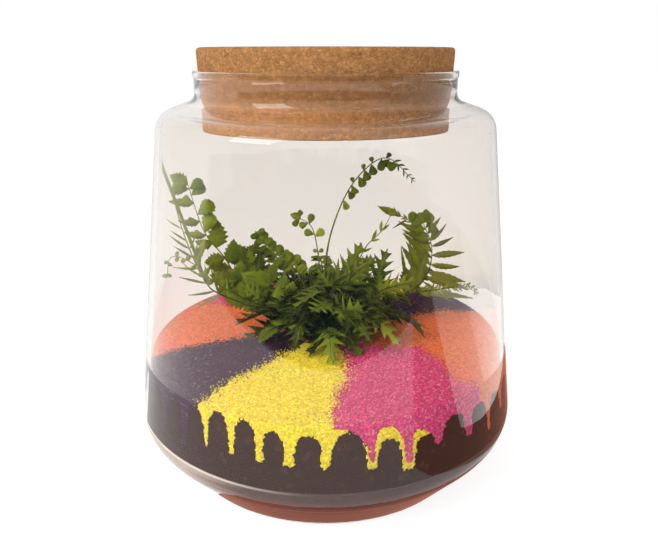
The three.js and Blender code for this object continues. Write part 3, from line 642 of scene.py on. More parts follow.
def add_rings(surface, points, poles, marks=None):
    """Closed body of rings of points, one in each row, with a fan to a pole at either end."""
    rows, columns = points.shape[:2]
    ring = np.arange(columns)
    following = np.roll(ring, -1)
    low = np.full(columns, rows * columns)
    last = (rows - 1) * columns
    fans = [np.stack([low, following, ring], 1), np.stack([low + 1, last + ring, last + following], 1)]
    whole = np.concatenate([points.reshape(-1, 3), poles])
    marks = None if marks is None else np.broadcast_to(marks, whole.shape)
    surface.add(whole, grid_quads(rows, columns, around=True), np.concatenate(fans), marks)


def revolved(profile, segments, shape=None):
    """Surface of a profile of radius and height, whose ends lie on the axis; shape moves its points."""
    turn = np.arange(segments) * 360 / segments
    points = at_azimuth(turn[None, :], profile[1:-1, :1], profile[1:-1, 1:])
    points = points if shape is None else shape(points)
    surface = Surface()
    add_rings(surface, points, np.array([[0, 0, profile[0, 1]], [0, 0, profile[-1, 1]]]))
    return surface


def add_slabs(surface, top, under, marks=None):
    """Closed slabs between two grids of points; the arrays hold slab, row, column and coordinate."""
    slabs, rows, columns = top.shape[:3]
    index = np.arange(rows * columns).reshape(rows, columns)
    rim = np.concatenate([index[0, :-1], index[:-1, -1], index[-1, :0:-1], index[:0:-1, 0]])
    after = np.roll(rim, -1)
    flat = grid_quads(rows, columns)
    side = np.stack([rim, rim + rows * columns, after + rows * columns, after], axis=1)
    single = np.concatenate([flat, flat[:, ::-1] + rows * columns, side])
    shifts = 2 * rows * columns * np.arange(slabs)
    points = np.stack([top, under], axis=1)
    marks = None if marks is None else np.stack([marks, marks], axis=1)
    surface.add(points, (single[None] + shifts[:, None, None]).reshape(-1, 4), marks=marks)


def add_tube(surface, path, ahead, radii, marks):
    """Round tube along a path with closed ends."""
    side = unit(np.cross(ahead, ASKEW))
    up = np.cross(side, ahead)
    turn = np.arange(STEM_SIDES) * 2 * math.pi / STEM_SIDES
    ring = side[:, None] * np.cos(turn)[:, None] + up[:, None] * np.sin(turn)[:, None]
    points = path[:, None] + radii[:, None, None] * ring
    add_rings(surface, points, path[[0, -1]], marks)


def add_grains(surface, centres, rng):
    """Sand grains: octahedra of uneven size, each turned its own way."""
    corners = np.concatenate([np.eye(3), -np.eye(3)])
    upper = [(0, 1, 2), (1, 3, 2), (3, 4, 2), (4, 0, 2)]
    faces = np.array(upper + [(1, 0, 5), (3, 1, 5), (4, 3, 5), (0, 4, 5)])
    spin, _ = np.linalg.qr(rng.normal(size=(len(centres), 3, 3)))
    spin *= np.sign(np.linalg.det(spin))[:, None, None]
    sizes = GRAIN * rng.uniform(0.6, 1.35, size=(len(centres), 1, 3))
    points = centres[:, None] + (corners * sizes) @ spin
    triangles = (faces[None] + 6 * np.arange(len(centres))[:, None, None]).reshape(-1, 3)
    surface.add(points, np.zeros((0, 4), int), triangles)


def place(name, surface, material, body, slot, nodes=()):
    """Makes the object of a surface, riding on a body, with a finish, standing for nodes; slot is not used.
    """
    piece = bpy.data.objects.new(name, surface.mesh(name))
    piece.data.materials.append(material)
    bpy.context.scene.collection.objects.link(piece)
    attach(piece, body)
    if nodes:
        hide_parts(*nodes)


# Materials

def math_node(operation, swapped=False):
    """Operator of a Signal: a Math node of it and another value, which comes first where swapped."""

    def operator(self, other):
        pair = {0: other, 1: self} if swapped else {0: self, 1: other}
        return self.shader.node("Math", {"operation": operation}, pair)

    return operator


class Signal:
    """Output of a shader node; each operator adds a Math node."""

    __add__ = __radd__ = math_node("ADD")
    __sub__ = math_node("SUBTRACT")
    __rsub__ = math_node("SUBTRACT", swapped=True)
    __mul__ = __rmul__ = math_node("MULTIPLY")
    __gt__ = math_node("GREATER_THAN")
    __lt__ = math_node("LESS_THAN")
    __or__ = math_node("MAXIMUM")

    def __init__(self, shader, socket):
        self.shader = shader
        self.socket = socket

    def __abs__(self):
        return self.shader.node("Math", {"operation": "ABSOLUTE"}, {0: self})

    def ramp(self, low, high):
        """0 at low and 1 at high, with a soft start and end."""
        settings = {"interpolation_type": "SMOOTHSTEP"}
        return self.shader.node("MapRange", settings, {"Value": self, "From Min": low, "From Max": high})

    def part(self, axis):
        """X, Y or Z of a vector, or red, green or blue of a colour."""
        return self.shader.node("SeparateXYZ", {}, {0: self}, axis)


class Shader:
    """Node tree of a material or of the world."""

    def __init__(self, tree):
        self.tree = tree
        tree.nodes.clear()

    def node(self, kind, settings, inputs, output=0):
        """Adds a node: its type, its settings and the values or links of its sockets."""
        node = self.tree.nodes.new("ShaderNode" + kind)
        for key, value in settings.items():
            setattr(node, key, value)
        for key, value in inputs.items():
            if isinstance(value, Signal):
                self.tree.links.new(value.socket, node.inputs[key])
            else:
                node.inputs[key].default_value = value
        return Signal(self, node.outputs[output]) if node.outputs else None

    def mix(self, share, first, second):
        """Colour from first to second by a share."""
        pair = [(*c, 1) if isinstance(c, tuple) else c for c in (first, second)]
        return self.node("Mix", {"data_type": "RGBA"}, {0: share, 6: pair[0], 7: pair[1]}, 2)

    def blend(self, share, first, second):
        """Shader from first to second by a share."""
        return self.node("MixShader", {}, {0: share, 1: first, 2: second})

    def ray(self, kind):
        """What Light Path says of the ray."""
        return self.node("LightPath", {}, {}, kind)

    def position(self):
        """Object coordinates."""
        return self.node("TexCoord", {}, {}, "Object")

    def scaled(self, vector, scale):
        """Vector with each part scaled."""
        return self.node("VectorMath", {"operation": "MULTIPLY"}, {0: vector, 1: scale})

    def noise(self, vector, size, detail, output="Fac"):
        """Soft noise about a size across."""
        return self.node("TexNoise", {}, {"Vector": vector, "Scale": 1 / size, "Detail": detail}, output)

    def cells(self, vector, size, output, feature="F1"):
        """Random cells about a size across."""
        return self.node("TexVoronoi", {"feature": feature}, {"Vector": vector, "Scale": 1 / size}, output)

    def bump(self, height, depth, strength):
        """Normal of a relief that is a depth high."""
        return self.node("Bump", {}, {"Height": height, "Distance": depth, "Strength": strength})

    def output(self, surface):
        """Ends a material with its surface."""
        self.node("OutputMaterial", {}, {"Surface": surface})

    def finish(self, inputs):
        """Ends a material with a Principled surface, matt unless inputs say otherwise."""
        self.output(self.node("BsdfPrincipled", {}, {"Specular IOR Level": 0.12, **inputs}))


def new_shader(name):
    """New material, and its node tree to fill."""
    material = bpy.data.materials.new(name)
    material.use_nodes = True
    return material, Shader(material.node_tree)


def shade(base, factor):
    """A colour made darker, or lighter where factor is over 1."""
    return tuple(min(1.0, factor * c) for c in base)


def toward(base, target, share):
    """A colour moved by a share of the way to another."""
    return tuple((1 - share) * a + share * b for a, b in zip(base, target))


def glass_material(tint):
    """Clear blown glass that lets light through to what it holds, with a faint ripple."""
    material, s = new_shader("clear_glass")
    ripple = s.noise(s.scaled(s.position(), (1, 1, 0.35)), 40 * MM, 1.0)
    clear = s.node("BsdfPrincipled", {}, {
        "Base Color": (*tint, 1), "Roughness": 0.0, "IOR": 1.42, "Transmission Weight": 1.0,
        "Normal": s.bump(ripple, 0.25 * MM, 0.15),
    })
    through = s.node("BsdfTransparent", {}, {"Color": (*tint, 1)})
    s.output(s.blend(s.ray("Is Shadow Ray"), clear, through))
    return material


def cork_material(base, rim):
    """Pressed cork: granules of several tones, dark seams, pores and a fine grain, with painted shade
    inside the rim.
    """
    material, s = new_shader("pressed_cork")
    spot = s.position()
    bent = s.node("VectorMath", {"operation": "MULTIPLY_ADD"}, {
        0: s.noise(spot, 1.6 * MM, 2.0, "Color"), 1: (1.0 * MM,) * 3, 2: spot})
    tone = s.cells(bent, 1.5 * MM, "Color").part(0)
    seam = s.cells(bent, 1.5 * MM, "Distance", "DISTANCE_TO_EDGE").ramp(0.0, 0.16)
    grain = s.noise(spot, 0.45 * MM, 3.0)
    pore = s.noise(spot, 1.0 * MM, 1.0).ramp(0.34, 0.28)
    granule = s.mix(tone, shade(base, 0.76), shade(base, 1.26))
    speckled = s.mix(grain.ramp(0.3, 0.75), s.mix(0.3, granule, shade(base, 0.5)), granule)
    seamed = s.mix(seam, s.mix(0.3, speckled, shade(base, 0.45)), speckled)
    dark = s.mix(pore * 0.6, seamed, shade(base, 0.35))
    # Painted shade: the cork is darkened in a band just below the rim, inside the neck
    neck_shade = spot.part(2).ramp(rim - 15 * MM, rim - 10 * MM) * spot.part(2).ramp(rim, rim - 2 * MM)
    height = seam * 0.5 + grain * 0.3 + (1 - pore) * 0.5
    s.finish({
        "Base Color": s.mix(neck_shade * 0.4, dark, shade(base, 0.4)), "Roughness": 0.78 + 0.15 * tone,
        "Normal": s.bump(height, 0.35 * MM, 0.8),
    })
    return material


def sand_material(name, base, light, dark, lights, darks):
    """Dyed sand: each grain has its own tone, and shares of the grains are much lighter or darker."""
    material, s = new_shader(name)
    spot = s.position()
    grain = s.cells(spot, 0.7 * MM, "Color")
    tone = grain.part(0)
    pick = grain.part(1)
    round_top = s.cells(spot, 0.7 * MM, "Distance")
    patch = s.noise(spot, 9 * MM, 2.0)
    even = s.mix(tone, shade(base, 0.7), shade(base, 1.24))
    patched = s.mix(patch.ramp(0.35, 0.7) * 0.35, even, shade(base, 0.86))
    lit = s.mix((pick > 1 - lights) * 0.6, patched, light)
    done = s.mix((pick < darks) * 0.6, lit, dark)
    s.finish({
        "Base Color": done, "Roughness": 0.72 + 0.2 * tone,
        "Normal": s.bump(1 - round_top, 0.35 * MM, 0.65),
    })
    return material


def soil_material(base):
    """Damp peat and bark: dark crumbs, fine fibres and a few paler chips."""
    material, s = new_shader("peat_soil")
    spot = s.position()
    crumb = s.cells(spot, 1.9 * MM, "Color")
    round_top = s.cells(spot, 1.9 * MM, "Distance")
    fine = s.noise(spot, 0.7 * MM, 3.0)
    tone = s.mix(crumb.part(0), shade(base, 0.75), shade(base, 1.2))
    fibrous = s.mix(fine.ramp(0.4, 0.7), shade(base, 0.8), tone)
    chips = s.mix((crumb.part(1) > 0.955) * 0.2, fibrous, srgb("7a5238"))
    s.finish({
        "Base Color": chips, "Roughness": 0.8 + 0.15 * fine,
        "Normal": s.bump(1 - round_top + fine * 0.2, 0.3 * MM, 0.25),
    })
    return material


def grit_material(base):
    """Reddish clay grit: level bands from pouring, greyer at the top, painted reflection and highlight at
    one side.
    """
    material, s = new_shader("clay_grit")
    spot = s.position()
    band = s.noise(s.scaled(spot, (0.04, 0.04, 1)), 1.3 * MM, 3.0)
    grain = s.cells(spot, 1.5 * MM, "Color").part(0)
    round_top = s.cells(spot, 1.5 * MM, "Distance")
    layered = s.mix(band.ramp(0.35, 0.65), shade(base, 0.62), shade(base, 1.2))
    grained = s.mix(grain * 0.35, layered, shade(base, 0.5))
    height = spot.part(2)
    dark = s.mix(height.ramp(22 * MM, 29 * MM), grained, srgb("5a4a46"))
    # Painted reflection: towards the left front the grit is painted pale, standing in for the white floor
    # that the glass mirrors
    drift = spot.part(0) + (band - 0.5) * (24 * MM)
    painted_reflection = drift.ramp(-28 * MM, -64 * MM) * spot.part(1).ramp(34 * MM, -34 * MM)
    pale = s.mix(painted_reflection * 0.75, dark, srgb("d2c0b6"))
    # Painted highlight: a thin cream line near the top of the grit, on the left, where the heel's glass
    # shows a bright band
    lip = height.ramp(29.4 * MM, 30.4 * MM) * height.ramp(GRIT_LIP, 30.5 * MM)
    line = lip * spot.part(0).ramp(-2 * MM, -55 * MM)
    s.finish({
        "Base Color": s.mix(line * 0.85, pale, srgb("efe6dc")), "Roughness": 0.75 + 0.2 * grain,
        "Normal": s.bump(1 - round_top, 0.4 * MM, 0.6),
    })
    return material


def leaf_material(colours):
    """Fern leaf: tone by leaflet, pale midrib, slanting veins, faint blotches; stems are dark low down."""
    material, s = new_shader("fern_leaf")
    marks = s.node("Attribute", {"attribute_name": "marks"}, {}, "Vector")
    across, along, tone = (marks.part(axis) for axis in range(3))
    spot = s.position()
    blotch = s.noise(spot, 4 * MM, 2.0)
    vein = s.node("Math", {"operation": "SINE"}, {0: along * 44 - abs(across) * 9}).ramp(0.55, 1.0)
    rib = 1 - abs(across).ramp(0.02, 0.14)
    old = tone > OLD - 0.5
    level = tone - old * OLD + (blotch - 0.5) * 0.25
    middle = s.mix(old, tuple(colours.leaf), tuple(colours.leaf_old))
    # Painted shade: low tones take the dark leaf colour
    low = s.mix(level.ramp(0.0, 0.5), tuple(colours.leaf_dark), middle)
    green = s.mix(level.ramp(0.5, 1.0), low, tuple(colours.leaf_lime))
    veined = s.mix((vein * 0.16) | (rib * 0.4), green, toward(colours.leaf, colours.leaf_lime, 0.6))
    low_stalk = s.mix(blotch, shade(colours.stem, 0.2), shade(colours.stem, 0.45))
    high_stalk = s.mix(blotch, shade(colours.stem, 0.7), shade(colours.stem, 1.2))
    stalk = s.mix(spot.part(2).ramp(84 * MM, 104 * MM), low_stalk, high_stalk)
    s.finish({
        "Base Color": s.mix(tone < STEM_TONE / 2, veined, stalk), "Roughness": 0.42 + 0.2 * blotch,
        "Normal": s.bump(rib * -0.6 + vein * 0.3 + blotch * 0.4, 0.2 * MM, 0.6),
        "Specular IOR Level": 0.16,
    })
    return material


# Shape of the jar's room

def jar_corners(jar):
    """Radius and height of the corners of the jar's outside, from the middle of its foot to its rim."""
    return np.array([
        (0, 0), (jar.foot_radius, 0), (jar.heel_radius, jar.heel_height),
        (jar.shoulder_radius, jar.shoulder_height), (jar.neck_radius, jar.neck_height),
        (jar.neck_radius, jar.height),
    ])


def rounded(corners, rounds):
    """Outline through corners, with each round drawn as a parabola that touches both its stretches."""
    outline = []
    for i, (corner, radius) in enumerate(zip(corners, rounds)):
        if radius == 0:
            outline.append(corner[None])
            continue
        back = corners[i - 1] - corner
        ahead = corners[i + 1] - corner
        spans = np.linalg.norm(back), np.linalg.norm(ahead)
        half = math.acos(np.dot(back, ahead) / (spans[0] * spans[1])) / 2
        reach = min(radius / math.tan(half), MOST_OF_STRETCH * min(spans))
        start = corner + back / spans[0] * reach
        end = corner + ahead / spans[1] * reach
        t = np.linspace(0, 1, ROUND_STEPS + 1)[:, None]
        outline.append((1 - t) ** 2 * start + 2 * t * (1 - t) * corner + t**2 * end)
    return np.concatenate(outline)


def inner_outline(jar, clearance):
    """Inside of the jar from the floor's centre to the rim, a clearance away from the glass."""
    outer = jar_corners(jar)
    inset = np.array([jar.floor, jar.wall, jar.wall, jar.wall, jar.neck_wall]) + clearance
    ahead = unit(np.diff(outer, axis=0))
    inwards = np.stack([-ahead[:, 1], ahead[:, 0]], axis=1)
    start = outer[:-1] + inwards * inset[:, None]
    gap = start[1:] - start[:-1]
    cross = ahead[:-1, 0] * ahead[1:, 1] - ahead[:-1, 1] * ahead[1:, 0]
    share = (gap[:, 0] * ahead[1:, 1] - gap[:, 1] * ahead[1:, 0]) / cross
    meets = start[:-1] + ahead[:-1] * share[:, None]
    ends = np.array([[0, inset[0]], [jar.neck_radius - inset[-1], jar.height]])
    rounds = (0, FLOOR_ROUND, HEEL_ROUND - jar.wall, SHOULDER_ROUND - jar.wall, NECK_ROUND + jar.wall, 0)
    return rounded(np.concatenate([ends[:1], meets, ends[1:]]), rounds)


def room_radius(jar, height, clearance):
    """Radius of the jar's room at a height."""
    outline = inner_outline(jar, clearance)
    return np.interp(height, outline[:, 1], outline[:, 0])


def sand_radius(jar, fill):
    """Radius of the sand where it meets the glass."""
    return room_radius(jar, fill.sand_edge, FILL_GAP)


def sand_top(fill):
    """Height of the middle of the sand."""
    return fill.sand_edge + fill.sand_rise


def sand_height(jar, fill, azimuth, radius):
    """Sand surface: a low paraboloid, tilted a little to the right, with soft lumps."""
    share = radius / sand_radius(jar, fill)
    rise = fill.sand_rise * (1 - share**2)
    tilt = SAND_TILT * share * np.sin(np.radians(azimuth))
    lumps = relief(at_azimuth(azimuth, radius, 0 * radius), *SAND_LUMPS)
    return fill.sand_edge + rise + tilt + lumps * (1 - share**4)


def sand_depth(jar, fill, radius):
    """Thickness of the sand layer, which thins out towards the glass."""
    edge = sand_radius(jar, fill)
    share = smooth(edge, edge - SAND_THINS_OVER, radius)
    return SAND_DEPTH_AT_GLASS + (SAND_DEPTH - SAND_DEPTH_AT_GLASS) * share


# Pieces

def jar_surface(jar):
    """Outside, rim and inside of the jar, revolved."""
    outer = jar_corners(jar)[:-1]
    bead = jar.neck_radius + RIM_BEAD
    bore = jar.neck_radius - jar.neck_wall
    rim = np.array([
        (jar.neck_radius, jar.height - RIM_BEAD_HEIGHT), (bead, jar.height - RIM_BEAD_HEIGHT + RIM_BEAD),
        (bead, jar.height), (bore, jar.height), (bore, jar.neck_height),
    ])
    rounds = (0, FOOT_ROUND, HEEL_ROUND, SHOULDER_ROUND, NECK_ROUND, 0, RIM_BEAD, RIM_ROUND, RIM_ROUND, 0)
    outside = rounded(np.concatenate([outer, rim]), rounds)[:-1]
    return revolved(np.concatenate([outside, inner_outline(jar, 0)[-2::-1]]), JAR_SEGMENTS)


def cork_surface(jar, fill):
    """Tapered stopper with dents between its granules and a few deeper pits."""
    bore = jar.neck_radius - jar.neck_wall - CORK_CLEARANCE
    radius = [bore + CORK_TAPER * (z - jar.height) for z in (fill.cork_foot, fill.cork_top)]
    corners = np.array([
        (0, fill.cork_foot), (radius[0], fill.cork_foot), (radius[1], fill.cork_top), (0, fill.cork_top)])
    outline = rounded(corners, (0, CORK_FOOT_ROUND, CORK_TOP_ROUND, 0))

    def dented(points):
        centre = np.array([0, 0, (fill.cork_foot + fill.cork_top) / 2])
        grain = CORK_GRAIN_DEPTH * (1 + noise(points, CORK_GRAIN, 1)) / 2
        pits = CORK_PIT_DEPTH * smooth(0.5, 0.8, noise(points, CORK_PIT, 2))
        return points + unit(centre - points) * (grain + pits)[..., None]

    return revolved(evened(outline, CORK_STEP), CORK_SEGMENTS, dented)


def settled(points):
    """Points of the filling, drawn back from the glass at the left, where it is dry."""
    radius = np.linalg.norm(points[..., :2], axis=-1)
    dry = smooth(*DRY_SIDE, -points[..., 0] / radius)
    inwards = points * np.array([-1, -1, 0]) / radius[..., None]
    return points + inwards * (DRY_GAP * dry)[..., None]


def drainage_surface(jar, fill):
    """Grit that fills the jar's foot, wet against the glass, with a thin lip up the side of the soil."""
    outline = inner_outline(jar, SAND_CONTACT)
    side = outline[outline[:, 1] < GRIT_LIP]
    lip = room_radius(jar, GRIT_LIP, SAND_CONTACT)
    behind = side[side[:, 1] > fill.drainage_top][::-1] - np.array([DRIP_SHELL, 0])
    edge = room_radius(jar, fill.drainage_top, SAND_CONTACT) - DRIP_SHELL
    top = [(edge, fill.drainage_top), (0, fill.drainage_top)]
    rim = [(lip, GRIT_LIP), (lip - DRIP_SHELL, GRIT_LIP)]
    profile = np.concatenate([side, rim, behind, top])
    return revolved(evened(profile, GRIT_STEP), SOIL_SEGMENTS, settled)


def soil_surface(jar, fill):
    """Soil from the grit up to the sand, wet against the glass."""
    foot = fill.drainage_top + FILL_GAP
    azimuth = np.arange(SOIL_SEGMENTS)[None, :] * 360 / SOIL_SEGMENTS
    edge = sand_radius(jar, fill) - DRIP_SHELL
    top = sand_height(jar, fill, azimuth, edge + 0 * azimuth) - sand_depth(jar, fill, edge) - FILL_GAP
    rows = math.ceil((fill.sand_edge - foot) / SOIL_STEP)
    height = foot + (top - foot) * np.linspace(0, 1, rows)[:, None]
    side = at_azimuth(azimuth, room_radius(jar, height, WET_CONTACT), height)
    radius = np.linspace(edge - SOIL_STEP, SAND_HOLE, SOIL_TOP_ROWS)[:, None] + 0 * azimuth
    level = sand_height(jar, fill, azimuth, radius) - sand_depth(jar, fill, radius) - FILL_GAP
    points = np.concatenate([settled(side), at_azimuth(azimuth, radius, level)])
    surface = Surface()
    add_rings(surface, points, np.array([[0, 0, foot], [0, 0, level.mean()]]))
    return surface


def root_ball_surface(fill):
    """Crumbly plug of soil that stands a little over the sand in the middle."""

    def lumpy(points):
        lift = relief(points, *PLUG_LUMPS) + relief(points, *PLUG_CRUMBS)
        return points + np.stack([0 * lift, 0 * lift, lift], axis=-1)

    profile = PLUG + np.array([0, sand_top(fill)])
    return revolved(evened(profile, PLUG_STEP), PLUG_SEGMENTS, lumpy)


def all_drips():
    """Azimuth, tip and half width of every drip; those at the back come at an even pitch, unevenly long."""
    i = np.arange(BACK_DRIPS)
    azimuth = BACK_DRIP_START + BACK_DRIP_PITCH * i
    tip = BACK_TIP + BACK_TIP_CHANGE * np.sin(2.1 * i)
    half = BACK_HALF + BACK_HALF_CHANGE * np.sin(3.7 * i)
    return np.concatenate([np.array(FRONT_DRIPS, float), np.stack([azimuth, tip, half], axis=1)])


def lower_edge(azimuth, drips, arches, radius):
    """Lower edge of sand on the glass: arches (half superellipses) between fingers with round tips."""
    drips = np.asarray(drips, float)
    drips = drips[np.argsort(drips[:, 0])]
    places, heights = np.asarray(arches, float).T
    arch = np.interp(azimuth, places, heights, period=360) * MM
    count = len(drips)
    after = np.searchsorted(drips[:, 0], azimuth)
    pair = np.stack([after - 1, after % count])
    turn = np.abs((azimuth - drips[pair, 0] + 180) % 360 - 180)
    aside = np.radians(turn) * radius - drips[pair, 2] * MM
    near = aside.argmin(axis=0)
    column = np.arange(len(azimuth))
    drip = drips[pair[near, column]]
    half = drip[:, 2] * MM
    tip = drip[:, 1] * MM
    out = np.clip((aside[near, column] + half) / half, 0, 1)
    finger = tip + DRIP_TIP * half * (1 - np.sqrt(1 - out**2))
    inside = np.clip(aside, 0, None)
    across = np.abs(inside[0] - inside[1]) / np.maximum(inside.sum(axis=0), 1e-9)
    shoulder = np.minimum(tip + DRIP_TIP * half, arch)
    door = shoulder + (arch - shoulder) * np.clip(1 - across**ARCH_POWER, 0, 1) ** (1 / ARCH_POWER)
    return np.where(aside[near, column] < 0, finger, door)


def grain_shift(points):
    """How far sand strays along the jar's curve: noise of the size of grains, and of small heaps."""
    return relief(points, *EDGE_GRAINS) + relief(points, *EDGE_HEAPS)


def ragged(points):
    """Sand points moved along the jar's curve, so that the edges of colours are ragged."""
    radius = np.hypot(points[..., 0], points[..., 1])
    along = np.stack([-points[..., 1], points[..., 0], 0 * radius], axis=-1) / radius[..., None]
    return points + along * grain_shift(points)[..., None]


def wall_owners(jar, fill, azimuth, height):
    """Sector whose sand fills each place on the glass, or -1 where the soil shows; borders are ragged."""
    edge = sand_radius(jar, fill)
    points = at_azimuth(azimuth, edge, height)
    starts = np.array([sector_bounds(i, edge)[0] for i in range(len(SECTORS))])
    turn = (azimuth - np.degrees(grain_shift(points) / edge) - starts[0]) % 360 + starts[0]
    level = height + relief(points, *DRIP_GRAINS) + relief(points, *DRIP_SPECKS)

    def foot(drips, arches):
        return lower_edge(turn.ravel(), drips, arches, edge).reshape(turn.shape)

    owner = np.searchsorted(starts, turn, side="right") - 1
    below_pink = level < foot(PINK_DRIPS, PINK_ARCHES)
    below_yellow = level < foot(YELLOW_DRIPS, YELLOW_ARCHES)
    owner = np.where((owner == PINK) & (turn < PINK_LINED) & below_pink, YELLOW, owner)
    owner = np.where((owner == YELLOW) & (turn < YELLOW_LINED) & below_yellow, PURPLE, owner)
    return np.where(level > foot(all_drips(), ARCHES), owner, -1)


def wall_grid(jar, fill):
    """Fine grid on the glass below the sand's edge: points in front and behind, and each cell's sector."""
    edge = sand_radius(jar, fill)
    columns = math.ceil(2 * math.pi * edge / WALL_CELL)
    azimuth = np.arange(columns)[None, :] * 360 / columns
    rim = sand_height(jar, fill, azimuth, edge + 0 * azimuth)
    height = rim - np.arange(WALL_ROWS + 1)[:, None] * WALL_CELL
    radius = room_radius(jar, height, SAND_CONTACT)
    front = at_azimuth(azimuth, radius, height)
    back = at_azimuth(azimuth, radius - DRIP_SHELL, height)
    return front, back, wall_owners(jar, fill, azimuth + 180 / columns, height[:-1] - WALL_CELL / 2)


def without_diagonals(keep):
    """Cells to keep, less those that touch another only at a corner."""
    keep = keep.copy()
    for _ in range(CORNER_ROUNDS):
        right = np.roll(keep, -1, axis=1)
        falling = keep[:-1] & right[1:] & ~right[:-1] & ~keep[1:]
        rising = right[:-1] & keep[1:] & ~keep[:-1] & ~right[1:]
        keep[1:] &= ~np.roll(falling, 1, axis=1)
        keep[1:] &= ~rising
    return keep


def add_cells(surface, front, back, keep):
    """Closed sheet of the kept cells of a grid that goes all round: both faces, and sides at borders."""
    keep = without_diagonals(keep)
    rows, columns = keep.shape
    index = np.arange((rows + 1) * columns).reshape(rows + 1, columns)
    behind = index.size
    right = np.roll(index, -1, axis=1)
    a, b, c, d = index[:-1], right[:-1], right[1:], index[1:]
    above = np.concatenate([np.zeros((1, columns), bool), keep[:-1]])
    below = np.concatenate([keep[1:], np.zeros((1, columns), bool)])
    before = np.roll(keep, 1, axis=1)
    after = np.roll(keep, -1, axis=1)
    face = np.stack([a, b, c, d], axis=-1)[keep]
    quads = [face, face[:, ::-1] + behind]
    for first, second, beside in ((a, b, above), (b, c, after), (c, d, below), (d, a, before)):
        border = keep & ~beside
        start, end = first[border], second[border]
        quads.append(np.stack([end, start, start + behind, end + behind], axis=1))
    used, quads = np.unique(np.concatenate(quads), return_inverse=True)
    points = np.concatenate([front.reshape(-1, 3), back.reshape(-1, 3)])
    surface.add(points[used], quads.reshape(-1, 4))


def sector_bounds(i, radius):
    """Azimuths where a sector starts and ends at a distance from the axis."""
    start = np.interp(radius, EDGE_RADII, SECTORS[i][2])
    following = (i + 1) % len(SECTORS)
    end = np.interp(radius, EDGE_RADII, SECTORS[following][2]) + (360 if following == 0 else 0)
    return start, end


def add_sector(surface, jar, fill, i):
    """Sand of one colour over the dome, from the middle to the glass."""
    edge = sand_radius(jar, fill)
    start, end = sector_bounds(i, edge)
    columns = math.ceil(math.radians(end - start) * edge / SAND_COLUMN)
    across = np.linspace(0, 1, columns)[None, :]
    radius = np.linspace(SAND_HOLE, edge, DOME_ROWS)[:, None] + 0 * across
    start, end = sector_bounds(i, radius)
    azimuth = start + (end - start) * across
    height = sand_height(jar, fill, azimuth, radius)
    depth = sand_depth(jar, fill, radius)
    rough = relief(at_azimuth(azimuth, radius, height), *DOME_GRAINS)
    dome = at_azimuth(azimuth, radius, height + rough)
    dome_under = at_azimuth(azimuth, np.minimum(radius, edge - DRIP_SHELL * radius / edge), height - depth)
    add_slabs(surface, ragged(dome)[None], ragged(dome_under)[None])


def sector_grains(jar, fill, i, rng):
    """Centres of loose grains: all over a sector, and strays that spilled over its two edges."""
    edge = sand_radius(jar, fill)
    start, end = sector_bounds(i, edge)
    count = int(GRAINS_PER_DEGREE * (end - start))
    radius = np.sqrt(rng.uniform((SAND_HOLE / edge) ** 2, 0.995, count)) * edge
    start, end = sector_bounds(i, radius)
    azimuth = start + (end - start) * rng.uniform(0, 1, count)
    stray_radius = rng.uniform(SAND_HOLE + STRAY_FROM_HOLE, edge - STRAY_FROM_GLASS, 2 * STRAY_GRAINS)
    start, end = sector_bounds(i, stray_radius)
    over = rng.exponential(STRAY_REACH, 2 * STRAY_GRAINS) + STRAY_GAP
    side = np.repeat([-1, 1], STRAY_GRAINS)
    stray_azimuth = np.where(side < 0, start, end) + side * np.degrees(over / stray_radius)
    radius = np.concatenate([radius, stray_radius])
    azimuth = np.concatenate([azimuth, stray_azimuth])
    height = sand_height(jar, fill, azimuth, radius) + 0.35 * GRAIN
    return ragged(at_azimuth(azimuth, radius, height))


# Ferns

def in_jar(jar, fill, azimuth, reach, rise):
    """Point in the room over the sand: shares of the way to the glass, and up to the cork."""
    low = sand_top(fill)
    height = low + (fill.cork_foot - LEAF_CLEARANCE - low) * rise
    return at_azimuth(azimuth, reach * room_radius(jar, height, LEAF_CLEARANCE), height)


def leaflet_shape(kind):
    """Outline of a leaflet of length 1: places along and across it, on a grid of rows and three columns.

    fan: widest past its middle, with a toothed edge. holly: an oval with a point and teeth. eared: a lance
    with an ear near its foot. round: a blunt oval. cut: a broad leaf cut into pointed lobes that lean
    forwards. lance, spear, blade, ribbon: slimmer and slimmer, with a fine saw edge.
    """
    rows = 18 if kind == "cut" else 13
    t = np.linspace(0, 1, rows)[:, None]
    share = np.array([[-1.0, 0.0, 1.0]])
    saw = np.arange(rows)[:, None] % 2
    lean = 0.35
    if kind == "fan":
        half = 0.42 * np.sin(math.pi * t**1.3) ** 0.8 * (1 - 0.2 * saw)
    elif kind == "holly":
        half = 0.41 * np.sin(math.pi * t**0.6) ** 0.9 * (1 - 0.3 * saw)
    elif kind == "eared":
        ear = 0.17 * np.exp(-((t - 0.22) / 0.1) ** 2) * (share > 0)
        half = 0.19 * np.sin(math.pi * t**0.6) ** 0.8 * (1 - 0.2 * saw) + ear
    elif kind == "round":
        half = 0.4 * np.sqrt(np.clip(1 - (2 * t - 1) ** 2, 0, 1)) * (1 - 0.06 * saw)
        lean = 0
    elif kind == "cut":
        lobe = np.array([0.22, 0.5, 1.0, 0.38])[np.arange(rows) % 4][:, None]
        half = 0.46 * (1 - t) ** 0.65 * lobe
        lean = 0.85
    else:
        half = SLIM_LEAVES[kind] * np.sin(math.pi * t**0.7) ** 0.9 * (1 - 0.2 * saw)
    half = np.maximum(half, 0.012)
    return t + lean * half * np.abs(share), half * share, share + 0 * t, t + 0 * share


def kept_inside(jar, points):
    """Points of leaves, with those that would cross the glass drawn back inside it."""
    radius = np.linalg.norm(points[..., :2], axis=-1)
    room = room_radius(jar, points[..., 2], LEAF_CLEARANCE)
    points[..., :2] *= np.minimum(1, room / np.maximum(radius, MM))[..., None]
    return points


